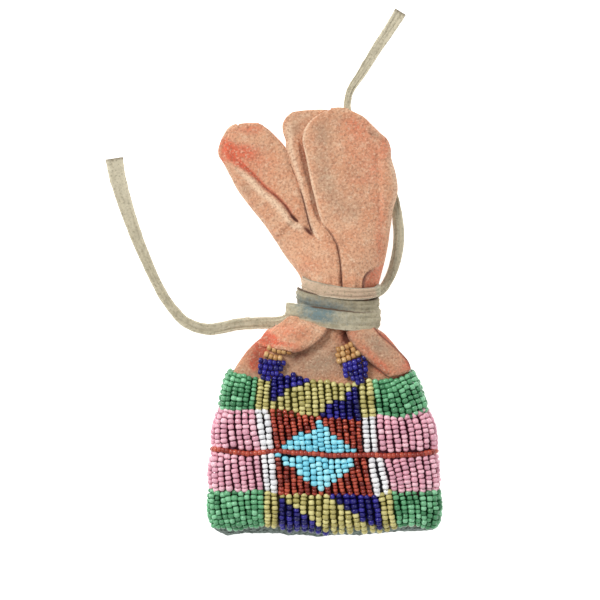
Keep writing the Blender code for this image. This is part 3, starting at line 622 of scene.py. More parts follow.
class PouchForm:
    """Outside of the filled pouch and its neck."""

    front_squareness = 2.7
    back_squareness = 3.2

    def section(self, y: float) -> tuple[float, ...]:
        """Left, right, front, widest line and back of the pouch at a place along Y."""
        rows = SECTION_ROWS
        place = (y - BOTTOM_Y) / POUCH_LENGTH
        index = max(k for k in range(len(rows) - 1) if k == 0 or rows[k][0] <= place)
        start, end = np.array(rows[index]), np.array(rows[index + 1])
        run = end[0] - start[0]
        local = min(max((place - start[0]) / run, 0), 1)
        square, cube = local**2, local**3
        _, left, right, front, edge, back = (
            start * (2 * cube - 3 * square + 1)
            + self._slope(index) * run * (cube - 2 * square + local)
            + end * (3 * square - 2 * cube)
            + self._slope(index + 1) * run * (cube - square)
        )
        heights = (mix(POUCH_BACK, POUCH_TOP, share) for share in (front, edge, back))
        return left * POUCH_HALF_WIDTH, right * POUCH_HALF_WIDTH, *heights

    @staticmethod
    def _slope(index: int) -> Array:
        """Slope of every column of the section table at one of its rows."""
        low = np.array(SECTION_ROWS[max(index - 1, 0)])
        high = np.array(SECTION_ROWS[min(index + 1, len(SECTION_ROWS) - 1)])
        return (high - low) / (high[0] - low[0])

    def half_section(self, y: float, front: bool, inset: float = 0.0) -> Array:
        """Points of the front or the back half of the section, from left to right."""
        left, right, top, edge, back = self.section(y)
        half_width = (right - left) / 2 - inset
        height = (top - edge - inset) if front else (back - edge + inset)
        power = 2 / (self.front_squareness if front else self.back_squareness)
        cos = np.cos(SECTION_ANGLES)
        across = np.sign(cos) * np.abs(cos) ** power
        points = np.empty((len(SECTION_ANGLES), 3))
        points[:, 0] = (left + right) / 2 + half_width * across
        points[:, 1] = y
        points[:, 2] = edge + height * np.clip(np.sin(SECTION_ANGLES), 0, 1) ** power
        return points

    @staticmethod
    def lengths(points: Array) -> Array:
        """Length along a half section to each of its points, counted from x = 0."""
        lengths = path_lengths(points)
        return lengths - np.interp(0, points[:, 0], lengths)

    def skin(self, y: float, length: float, front: bool) -> tuple[Array, Array]:
        """Point on the hide at a place along Y and round the section, and its normal."""
        points = self.half_section(y, front)
        places = (length, length + NUDGE, length - NUDGE)
        here, beside, behind = on_path(points, self.lengths(points), places)
        points = self.half_section(y + NUDGE, front)
        above = on_path(points, self.lengths(points), length)
        normal = unit(np.cross(beside - behind, above - here))
        return here, normal if front else -normal

    def front_height(self, x, y):
        """Height of the pouch's front at places on it."""
        heights = []
        for one_x, one_y in zip(np.ravel(x), np.ravel(y)):
            left, right, top, edge, _ = self.section(min(one_y, NECK_LOW_Y))
            across = abs((one_x - (left + right) / 2) / ((right - left) / 2))
            rise = max(1 - across**self.front_squareness, 0) ** (1 / self.front_squareness)
            heights.append(mix(edge, top, rise))
        return np.array(heights).reshape(np.shape(x))

    @staticmethod
    def neck_oval(y: float, turn: float, lift: float) -> Array:
        """Point over the neck's oval, at a turn counted from its right side over the front."""
        share = (y - NECK_LOW_Y) / NECK_LENGTH
        angle = 2 * math.pi * turn
        x = mix(*NECK_MIDDLES, share) + (mix(*NECK_HALF_WIDTHS, share) + lift) * math.cos(angle)
        return np.array([x, y, NECK_Z + (NECK_HALF_HEIGHT + lift) * math.sin(angle)])


POUCH = PouchForm()


# Beadwork

LANE_END = 0.0013
LANE_CROWN = 0.0024
CROWN_POWER = 0.7
SIDE_DROP = 0.22
SIDE_POWER = 4
BEAD_LINE_LIFT = 0.0014
BEAD_RADIUS = 0.00093
STRING_SAMPLES = 25
BACK_STRINGS = 34
BLOCKS = ("left_end", "left_band", "pattern", "right_band", "right_end")
ROWS_PER_LANE = 8
MIDDLE_PLACE = 0.4095
MIDDLE_SAG = 0.0155
MIDDLE_BEADS = 58
MIDDLE_LIFT = 0.0011

# How far each lane's border strays down from its curve: u along it and the stray, in the view
TOP_OF_1 = (
    (229, 0), (240, 0), (262, 2), (270, 1), (278, -3), (297, -5), (304, -1), (312, 0.5), (335, 1),
    (340, 4), (361, 4.5), (368, 1), (383, 3), (397, 3), (406, 3), (413, 1),
)
FROM_1_TO_2 = (
    (222, -0.7), (238, -3), (252, -4.5), (268, -6.5), (290, -7), (305, -2), (320, 0), (335, 1),
    (345, 2), (356, 3), (366, 1), (380, -1), (390, 2), (400, 4), (408, 2.5), (420, 1), (430, -1),
)
BOTTOM_OF_2 = ((222, -2.5), (236, -2), (250, -1), (268, -2.5), (290, -2.5), (310, -1), (330, 0), (440, 0))
MIDDLE_STRING = (
    (213, -1.5), (228, -3), (243, -2.3), (252, -0.5), (258, -1.6), (270, -2.9), (281, -2.7),
    (297, -2.1), (320, -2.6), (335, -0.5), (350, 0), (366, 1.2), (381, 1.2), (396, 0.5), (412, 0),
)
TOP_OF_3 = (
    (221, -2), (230, -2), (240, -1.5), (250, 0), (257, -1.3), (265, -3.8), (280, -5), (287, -3),
    (301, -3), (314, -1.8), (335, 0), (370, 0.5), (385, 0.5), (398, 3), (410, 1.5), (430, 0),
)
FROM_3_TO_4 = (
    (216, -0.5), (224, 0), (232, -2), (246, -3), (261, -5.5), (268, -4.2), (280, -1.5), (295, -2.4),
    (325, -1.9), (339, -3), (350, -2), (365, 0), (380, -0.5), (387, -3.2), (393, -5), (400, -2),
    (410, -2.5), (420, -1), (430, -0.3),
)
BOTTOM_OF_4 = (
    (213, 1), (219, -0.8), (231, 1), (240, -2), (250, -2), (261, -5.5), (268, -4.5), (282, -3),
    (290, 0), (300, -2.5), (311, -0.7), (325, 2), (345, 1), (355, -2), (362, 1.7), (377, 0.7),
    (385, -1), (393, -2.5), (411, -4.5), (424, -0.5), (430, 0.5),
)

# Each tab's rows from left to right: both ends in the view, beads, and height over the hide
TABS = (
    ("tab_left_gold", "tan", ((267, 347, 291.5, 351.8, 5, 1.15), (264, 353, 282.5, 358.3, 4, 1.15))),
    (
        "tab_left_blue", "blue",
        (
            (258.5, 359.5, 286, 362.5, 6, 1.25), (258, 365, 283.5, 367.8, 5, 1.3),
            (258, 370.3, 279, 372.8, 5, 1.3), (260.5, 375.6, 271, 377.4, 2, 1.3),
        ),
    ),
    (
        "tab_right_gold", "tan",
        (
            (336, 349.3, 352.5, 342.8, 4, 1.15), (335.5, 355.2, 355, 348, 4, 1.15),
            (336.5, 361.2, 360, 351.5, 5, 1.15),
        ),
    ),
    (
        "tab_right_blue", "blue",
        (
            (342.5, 365.3, 366, 356, 5, 1.25), (342.5, 370.2, 367, 362, 5, 1.3),
            (343.5, 375, 367.5, 367.8, 5, 1.3), (350.5, 378, 367, 373.8, 4, 1.3),
            (355, 381.5, 364.5, 379, 2, 1.3),
        ),
    ),
)


@dataclass(frozen=True)
class Figure:
    """Beads of one colour on each string of a lane's pattern, counted from its top or bottom."""

    name: str
    from_top: bool
    counts: tuple[int, ...]


@dataclass(frozen=True)
class Lane:
    """One lane of stitched strings on the front, from its borders to its pattern."""

    number: int
    borders: tuple[float, float]
    sags: tuple[float, float]
    strings: tuple[int, ...]
    block_borders: tuple[float, ...]
    lean: tuple[float, ...]
    ends: str
    bands: str
    ground: str
    strays: tuple[Rows, Rows]
    figures: tuple[Figure, ...]

    def y(self, across: float, down: float, front: bool, u: float = 0.0) -> float:
        """Place along Y: across from -1 to 1 between the sides, down from 0 to 1, u in the view."""
        dip = 1 - across**2 if front else 0
        high, low = (border - sag * dip for border, sag in zip(self.borders, self.sags))
        stray = 0.0
        if front and u:
            stray = mix(*(at_table(u, table) for table in self.strays), down) / VIEW_SCALE
        return BOTTOM_Y + mix(high, low, down) * POUCH_LENGTH - stray

    def place_in_block(self, column: int) -> tuple[int, int]:
        """Number of a string's block, and the string's number in it."""
        block = 0
        while block < len(self.strings) - 1 and column >= self.strings[block]:
            column -= self.strings[block]
            block += 1
        return block, column

    def border_place(self, column: int, points: Array, lengths: Array) -> float:
        """Length round the section of the border to the left of a string."""
        block, local = self.place_in_block(column)
        inner = np.interp(np.array(self.block_borders) * POUCH_HALF_WIDTH, points[:, 0], lengths)
        limits = (lengths[0], *inner, lengths[-1])
        return mix(limits[block], limits[block + 1], local / self.strings[block])

    def colour_name(self, column: int, row: int) -> str:
        """Name of the group of beads that a cell belongs to."""
        block, local = self.place_in_block(column)
        side, _, part = BLOCKS[block].partition("_")
        if part == "end":
            return f"{self.ends}_{side}"
        if part == "band":
            return self.bands.format(side)
        for figure in self.figures:
            count = figure.counts[local]
            if row < count if figure.from_top else row >= ROWS_PER_LANE - count:
                return figure.name
        return self.ground


LANES = (
    Lane(
        1, (0.791, 0.609), (0.036, 0.033), (7, 2, 13, 2, 9), (-0.618, -0.490, 0.314, 0.454),
        (0, -4, -2.5, 2, 3, 3, 5, 8, 0), "green", "gold_band", "gold_band", (TOP_OF_1, FROM_1_TO_2),
        (
            Figure("blue_left", True, (6, 5, 3, 3, 2, 1, 0, 0, 0, 0, 0, 0, 0)),
            Figure("blue_right", False, (0, 0, 0, 0, 0, 0, 0, 1, 3, 4, 4, 6, 7)),
        ),
    ),
    Lane(
        2, (0.609, 0.425), (0.033, 0.013), (7, 2, 14, 2, 9), (-0.604, -0.478, 0.342, 0.478),
        (0, 6, 6, 6, 4, 2.7, 2.5, 3, 0), "pink", "white_{}", "red_field", (FROM_1_TO_2, BOTTOM_OF_2),
        (Figure("turquoise", False, (0, 1, 2, 3, 4, 4, 5, 7, 6, 4, 3, 2, 1, 0)),),
    ),
    Lane(
        3, (0.394, 0.228), (0.018, 0.029), (8, 2, 14, 2, 8), (-0.565, -0.436, 0.412, 0.570),
        (0, 4, 3.5, 2, 3, 8, 7, 5, 0), "pink", "white_{}", "red_field", (TOP_OF_3, FROM_3_TO_4),
        (Figure("turquoise", True, (1, 2, 2, 4, 5, 6, 7, 6, 5, 4, 3, 2, 0, 0)),),
    ),
    Lane(
        4, (0.228, 0.056), (0.029, 0.022), (10, 2, 14, 2, 8), (-0.549, -0.418, 0.510, 0.631),
        (0, 5, 1, 1, 0, 5, 6, 5.5, 0), "green", "gold_band", "gold_band", (FROM_3_TO_4, BOTTOM_OF_4),
        (
            Figure("blue_left", False, (7, 6, 5, 4, 3, 2, 1, 0, 0, 0, 0, 0, 0, 0)),
            Figure("blue_right", True, (0, 0, 0, 0, 0, 0, 0, 1, 2, 3, 4, 5, 6, 7)),
        ),
    ),
)


@dataclass
class BeadRun:
    """Beads that make one piece: where each is, which way its hole runs and its size."""

    colour: BeadColour
    centres: list = field(default_factory=list)
    axes: list = field(default_factory=list)
    outs: list = field(default_factory=list)
    sizes: list = field(default_factory=list)

    def add(self, centre, axis, out, width: float, length: float) -> None:
        """Add a bead.

        Args:
            centre: The bead's middle, in metres.
            axis: Which way its hole runs.
            out: Which way is away from the hide.
            width: Its diameter as a share of the stock's.
            length: Its length in metres.
        """
        self.centres.append(centre)
        self.axes.append(axis)
        self.outs.append(out)
        self.sizes.append((width, width, length / BeadTree.nominal_length))


class BeadTree:
    """Geometry Nodes tree that sets a small polished ring on every point."""

    sides = 12
    profile_sides = 8
    nominal_length = 0.00125
    size_spread = 0.045
    tilt = math.radians(7)
    seeds = 10000

    def __init__(self) -> None:
        """Build the tree: one bead is swept round its hole, then set on the points."""
        self.tree = bpy.data.node_groups.new("seed_beads_on_points", "GeometryNodeTree")
        face = self.tree.interface
        face.new_socket("Points", in_out="INPUT", socket_type="NodeSocketGeometry")
        self.sockets = {
            name: face.new_socket(name, in_out="INPUT", socket_type=f"NodeSocket{kind}").identifier
            for name, kind in (
                ("Bead Diameter", "Float"), ("Hole Diameter", "Float"), ("Size Spread", "Float"),
                ("Tilt", "Float"), ("Seed", "Int"), ("Glass", "Material"),
            )
        }
        face.new_socket("Beads", in_out="OUTPUT", socket_type="NodeSocketGeometry")
        add = partial(add_node, self.tree)
        given = add("NodeGroupInput").outputs
        diameters = {0: given["Bead Diameter"], 1: given["Hole Diameter"]}
        wall = add("ShaderNodeMath", diameters, operation="SUBTRACT")
        middle = add("ShaderNodeMath", diameters, operation="ADD")
        radius = add("ShaderNodeMath", {0: middle, 1: 0.25}, operation="MULTIPLY")
        ring = add("GeometryNodeCurvePrimitiveCircle", {"Resolution": self.sides, "Radius": radius})
        kit = {"Resolution": self.profile_sides, "Radius": 1.0}
        half_corner = math.pi / self.profile_sides
        kit = {"Geometry": add("GeometryNodeCurvePrimitiveCircle", kit), "Rotation": (0, 0, half_corner)}
        profile = add("GeometryNodeTransform", kit)
        across = add("ShaderNodeMath", {0: wall, 1: 0.25 / math.cos(half_corner)}, operation="MULTIPLY")
        kit = {"X": across, "Y": self.nominal_length / 2, "Z": 1.0}
        kit = {"Geometry": profile, "Scale": add("ShaderNodeCombineXYZ", kit)}
        kit = {"Curve": ring, "Profile Curve": add("GeometryNodeTransform", kit)}
        bead = add("GeometryNodeSetShadeSmooth", {"Geometry": add("GeometryNodeCurveToMesh", kit)})
        read = partial(add, "GeometryNodeInputNamedAttribute", data_type="FLOAT_VECTOR")
        axis, out, size = (
            read({"Name": name}).outputs["Attribute"] for name in ("bead_axis", "bead_out", "bead_size")
        )
        kit = {"Primary Axis": axis, "Secondary Axis": out}
        facing = add("FunctionNodeAxesToRotation", kit, primary_axis="Z", secondary_axis="X")
        less = add("ShaderNodeMath", {0: given["Tilt"], 1: -1.0}, operation="MULTIPLY")
        low, high = (
            add("ShaderNodeCombineXYZ", dict.fromkeys("XYZ", most)) for most in (less, given["Tilt"])
        )
        kit = {0: low, 1: high, "Seed": given["Seed"]}
        wobble = add("FunctionNodeRandomValue", kit, data_type="FLOAT_VECTOR")
        kit = {"Rotation": facing, "Rotate By": add("FunctionNodeEulerToRotation", {0: wobble})}
        tilted = add("FunctionNodeRotateRotation", kit, rotation_space="LOCAL")
        least, most = (
            add("ShaderNodeMath", {0: 1.0, 1: given["Size Spread"]}, operation=operation)
            for operation in ("SUBTRACT", "ADD")
        )
        size_seed, tone_seed = (
            add("ShaderNodeMath", {0: given["Seed"], 1: shift}, operation="ADD") for shift in (7.0, 13.0)
        )
        kit = {2: least, 3: most, "Seed": size_seed}
        spread = add("FunctionNodeRandomValue", kit, data_type="FLOAT").outputs[1]
        scale = add("ShaderNodeVectorMath", {0: size, "Scale": spread}, operation="SCALE")
        kit = {"Points": given["Points"], "Instance": bead, "Rotation": tilted, "Scale": scale}
        placed = add("GeometryNodeInstanceOnPoints", kit)
        tone = add("FunctionNodeRandomValue", {"Seed": tone_seed}, data_type="FLOAT").outputs[1]
        kit = {"Geometry": placed, "Name": "bead_tone", "Value": tone}
        stored = add("GeometryNodeStoreNamedAttribute", kit, data_type="FLOAT", domain="INSTANCE")
        kit = {"Geometry": add("GeometryNodeRealizeInstances", {"Geometry": stored})}
        add("NodeGroupOutput", {0: add("GeometryNodeSetMaterial", {**kit, "Material": given["Glass"]})})

    def piece(self, name: str, run: BeadRun, glass: Finish) -> Piece:
        """Turn a run of beads into a plain mesh piece.

        Args:
            name: The piece's name.
            run: The beads.
            glass: Their finish.

        Returns:
            The piece.
        """
        mesh = bpy.data.meshes.new(name)
        mesh.from_pydata(np.array(run.centres).tolist(), [], [])
        for mark, values in (("bead_axis", run.axes), ("bead_out", run.outs), ("bead_size", run.sizes)):
            layer = mesh.attributes.new(mark, "FLOAT_VECTOR", "POINT")
            layer.data.foreach_set("vector", np.asarray(values, dtype=np.float32).ravel())
        piece = add_object(name, mesh)
        nodes = piece.modifiers.new("seed beads", "NODES")
        nodes.node_group = self.tree
        for socket, value in (
            ("Bead Diameter", BEAD_STOCK[run.colour].diameter * MM),
            ("Hole Diameter", HOLE_DIAMETER * MM),
            ("Size Spread", self.size_spread),
            ("Tilt", self.tilt),
            ("Seed", zlib.crc32(name.encode()) % self.seeds),
            ("Glass", glass),
        ):
            nodes[self.sockets[socket]] = value
        graph = bpy.context.evaluated_depsgraph_get()
        made = bpy.data.meshes.new_from_object(
            piece.evaluated_get(graph), preserve_all_data_layers=True, depsgraph=graph
        )
        made.name = name
        piece.modifiers.remove(nodes)
        piece.data = made
        bpy.data.meshes.remove(mesh)
        if not made.materials:
            made.materials.append(glass)
        return piece


class Beadwork:
    """Four lanes front and back, the string between them and the two tabs on the shoulders."""

    def __init__(self) -> None:
        """Prepare the bead tree and the glass of every colour."""
        self.tree = BeadTree()
        self.glass = {colour: stock.glass.build() for colour, stock in BEAD_STOCK.items()}
        self.random = np.random.default_rng(41)
        self.runs: dict[str, BeadRun] = {}

    def run(self, name: str, colour: str) -> BeadRun:
        """The run of beads with a name, new if there is none."""
        return self.runs.setdefault(name, BeadRun(BeadColour(colour)))

    def string_path(self, lane: Lane, column: int, count: int, front: bool):
        """Centreline of one string of a lane, from its top to its bottom.

        Args:
            lane: The lane.
            column: Number of the string from the left.
            count: Number of strings in the lane.
            front: True on the front of the pouch.

        Returns:
            Points along the string, and the hide's normals under them.
        """
        across = 2 * (column + 0.5) / count - 1
        edge = abs(across) ** SIDE_POWER
        lean = np.interp(across, np.linspace(-1, 1, len(lane.lean)), lane.lean) / VIEW_SCALE if front else 0
        phase, swing = self.random.uniform(0, 2 * math.pi), self.random.uniform(0, 0.16) * MM
        first, last = self.random.normal(0, 0.016, 2)
        y = lane.y(across, 0.5, front)
        middle = POUCH.skin(y, self.bead_place(lane, column, count, front, y), front)[0]
        u = to_view(middle[0], 0)[0]
        points, normals = [], []
        for down in np.linspace(first - 0.012, last + 1.012, STRING_SAMPLES):
            y = lane.y(across, down, front, u)
            place = self.bead_place(lane, column, count, front, y)
            place += lean * (down - 0.5) + swing * math.sin(phase + 5 * down)
            here, normal = POUCH.skin(y, place, front)
            arch = max(math.sin(math.pi * min(max(down, 0), 1)), 0) ** (CROWN_POWER * (1 - 0.75 * edge))
            rise = mix(LANE_END, LANE_CROWN, arch) - SIDE_DROP * LANE_CROWN * edge
            centre = here + normal * (GAP + rise - BEAD_RADIUS)
            centre[2] = max(centre[2], BEAD_RADIUS)
            points.append(centre)
            normals.append(normal)
        return np.array(points), np.array(normals)

    @staticmethod
    def bead_place(lane: Lane, column: int, count: int, front: bool, y: float) -> float:
        """Length round the hide to under a string, where the strings are even over their beads."""
        section = POUCH.half_section(y, front)
        run = unit(np.gradient(section[:, [0, 2]], axis=0)) * (BEAD_LINE_LIFT if front else -BEAD_LINE_LIFT)
        over = section + np.stack([-run[:, 1], 0 * run[:, 0], run[:, 0]], axis=1)
        lengths = POUCH.lengths(over)
        if front:
            place = sum(lane.border_place(column + side, over, lengths) for side in (0, 1)) / 2
        else:
            place = mix(lengths[0], lengths[-1], (column + 0.5) / count)
        return float(np.interp(place, lengths, POUCH.lengths(section)))

    def fill_string(self, names: list[str], prefix: str, points: Array, normals: Array) -> None:
        """Thread beads on a string, colour by colour.

        Args:
            names: The group of each of the string's eight cells.
            prefix: Start of the pieces' names.
            points: The string's centreline.
            normals: The hide's normals along it.
        """
        lengths = path_lengths(points)
        stoutness = float(np.clip(self.random.normal(1.0, 0.075), 0.85, 1.14))
        row = 0
        for name, cells in groupby(names):
            last = row + len(list(cells))
            run = self.run(f"{prefix}_{name}", name.split("_")[0])
            stock = BEAD_STOCK[run.colour]
            more = self.random.uniform(-0.7, 0.5) if last - row > 3 else 0
            count = max(1, round((last - row) * stock.per_lane / ROWS_PER_LANE + more))
            start, end = lengths[-1] * row / len(names), lengths[-1] * last / len(names)
            shares = self.random.uniform(0.8, 1.2, count)
            borders = start + (end - start) * np.concatenate([[0], np.cumsum(shares) / shares.sum()])
            for low, high in zip(borders, borders[1:]):
                middle = (low + high) / 2
                behind, centre, ahead = on_path(points, lengths, (low, middle, high))
                out = on_path(normals, lengths, middle)
                side = unit(np.cross(ahead - behind, out))
                jitter = self.random.normal(0, 0.075, 2) * MM
                width = stoutness * self.random.normal(1.0, 0.04)
                if self.random.random() < 0.05:
                    width *= self.random.choice((0.84, 1.1))
                centre = centre + side * jitter[0] + out * jitter[1]
                centre[2] = max(centre[2], stock.diameter * MM * width * 0.53)
                run.add(centre, ahead - behind, out, width, (high - low) * 0.94)
            row = last

    def lanes(self) -> None:
        """Thread the four lanes on the front and on the back."""
        for lane in LANES:
            strings = sum(lane.strings)
            for count, front, prefix in ((strings, True, "lane"), (BACK_STRINGS, False, "back_lane")):
                for column in range(count):
                    source = int((column + 0.5) * strings / count)
                    names = [lane.colour_name(source, row) for row in range(ROWS_PER_LANE)]
                    path = self.string_path(lane, column, count, front)
                    self.fill_string(names, f"{prefix}_{lane.number}", *path)

    def middle_string(self) -> None:
        """Thread the red string that runs across between lanes 2 and 3."""
        points, normals = [], []
        for share in np.linspace(0, 1, 81):
            across = 2 * share - 1
            y = BOTTOM_Y + (MIDDLE_PLACE - MIDDLE_SAG * (1 - across**2)) * POUCH_LENGTH
            y += 0.3 * MM * math.sin(share * 17 + 2.5) + 0.1 * MM * math.sin(share * 47)
            y -= at_table(to_view(POUCH_HALF_WIDTH * across, 0)[0], MIDDLE_STRING) / VIEW_SCALE
            lengths = POUCH.lengths(POUCH.half_section(y, True))
            here, normal = POUCH.skin(y, mix(lengths[0], lengths[-1], share), True)
            points.append(here + normal * MIDDLE_LIFT)
            normals.append(normal)
        points, normals = np.array(points), np.array(normals)
        lengths = path_lengths(points)
        run = self.run("middle_string_red", "string_red")
        step = lengths[-1] / MIDDLE_BEADS
        for middle in (np.arange(MIDDLE_BEADS) + 0.5) * step:
            places = (middle - 0.3 * MM, middle, middle + 0.3 * MM)
            behind, centre, ahead = on_path(points, lengths, places)
            out = on_path(normals, lengths, middle)
            run.add(centre, ahead - behind, out, self.random.normal(1, 0.03), 1.12 * step)

    def tab_row(self, run: BeadRun, row: Sequence[float]) -> None:
        """Thread one row of a tab.

        Args:
            run: The tab's beads.
            row: Both ends in the view, the number of beads and the height of their middles
                over the hide in millimetres.
        """
        *ends, count, lift = row
        shares = (np.arange(count) + 0.5) / count
        start, end = (np.array([*from_view(u, v), 0]) for u, v in (ends[:2], ends[2:]))
        sag = 0.35 * (1 - (2 * shares - 1) ** 2) * MM
        x, y, z = mix(start, end, shares[:, None]).T
        y = y - sag
        z = POUCH.front_height(x, y) + lift * MM
        reach = np.linalg.norm(end - start)
        for point in np.stack([x, y, z], axis=1):
            jitter = self.random.normal(0, 0.05, 3) * MM
            width = self.random.normal(1, 0.03)
            run.add(point + jitter, (end - start) / reach, (0, 0, 1), width, reach / count * 0.97)

    def build(self) -> None:
        """Make every bead piece and hang it on the pouch."""
        self.lanes()
        self.middle_string()
        for name, colour, rows in TABS:
            for row in rows:
                self.tab_row(self.run(name, colour), row)
        taken = set()
        for name, run in self.runs.items():
            piece = self.tree.piece(f"{name}_beads", run, self.glass[run.colour])
            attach(piece, "pouch")
            run.colour.slot
            node = "middle_bead_string" if name.startswith("middle") else name
            if name.startswith("back_lane"):
                node = name[: len("back_lane_1")]
            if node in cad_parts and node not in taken:
                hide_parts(node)
                taken.add(node)
            LOG.info("%s: %d beads", piece.name, len(run.centres))


# Painted shade on the hide between the beads, each tinted with a painted reflection of its beads' colour
PAINTED_GAP_SHADES = {
    "green": "#175834", "pink": "#6d3747", "white": "#4e4a52", "red": "#48140f",
    "turquoise": "#0d2b36", "gold": "#736f38", "blue": "#15114a",
}


def gap_tints(places: Array) -> Array:
    """Paint shade, tinted by the bead colours, on the hide under the beads.

    Args:
        places: Places on the pouch's hide, in rings along Y.

    Returns:
        A linear colour at each place.
    """
    gap_shades = np.empty((*places.shape[:2], 4))
    dark = {colour: hex_linear(gap_shade) for colour, gap_shade in PAINTED_GAP_SHADES.items()}
    for ring, points in enumerate(places):
        share = (points[:, 1].mean() - BOTTOM_Y) / POUCH_LENGTH
        lane = next((lane for lane in LANES if share > lane.borders[1] - 0.03), LANES[-1])
        limits = (-1, *lane.block_borders, 1)
        for index, (x, y, _) in enumerate(points):
            across = x / POUCH_HALF_WIDTH
            high, low = (lane.y(across, down, True, to_view(x, y)[0]) for down in (0, 1))
            row = int(np.clip((high - y) / (high - low) * ROWS_PER_LANE, 0, ROWS_PER_LANE - 1))
            block = int(np.searchsorted(lane.block_borders, across))
            local = (across - limits[block]) / (limits[block + 1] - limits[block])
            column = sum(lane.strings[:block]) + int(np.clip(local, 0, 0.99) * lane.strings[block])
            gap_shades[ring, index] = dark[lane.colour_name(column, row).split("_")[0]]
    return gap_shades


# Hide

WELT_TOP = 0.0026
HIDE_END = 0.0006
WAIST_SPAN = (NECK_LOW_Y + 0.003, NECK_LOW_Y + 0.008)
WAIST_DEPTH = 0.0014
NECK_BLEND = (NECK_LOW_Y - 0.0016, NECK_LOW_Y + 0.0022)
SEAM_FROM, SEAM_TO = -0.0555, -0.0572


def hide_marks(u, **given) -> dict:
    """Stains of a piece of hide, none where none are given."""
    return {mark: given.get(mark, 0) + 0 * u for mark in ("red", "grey", "soil", "seam", "pale")}


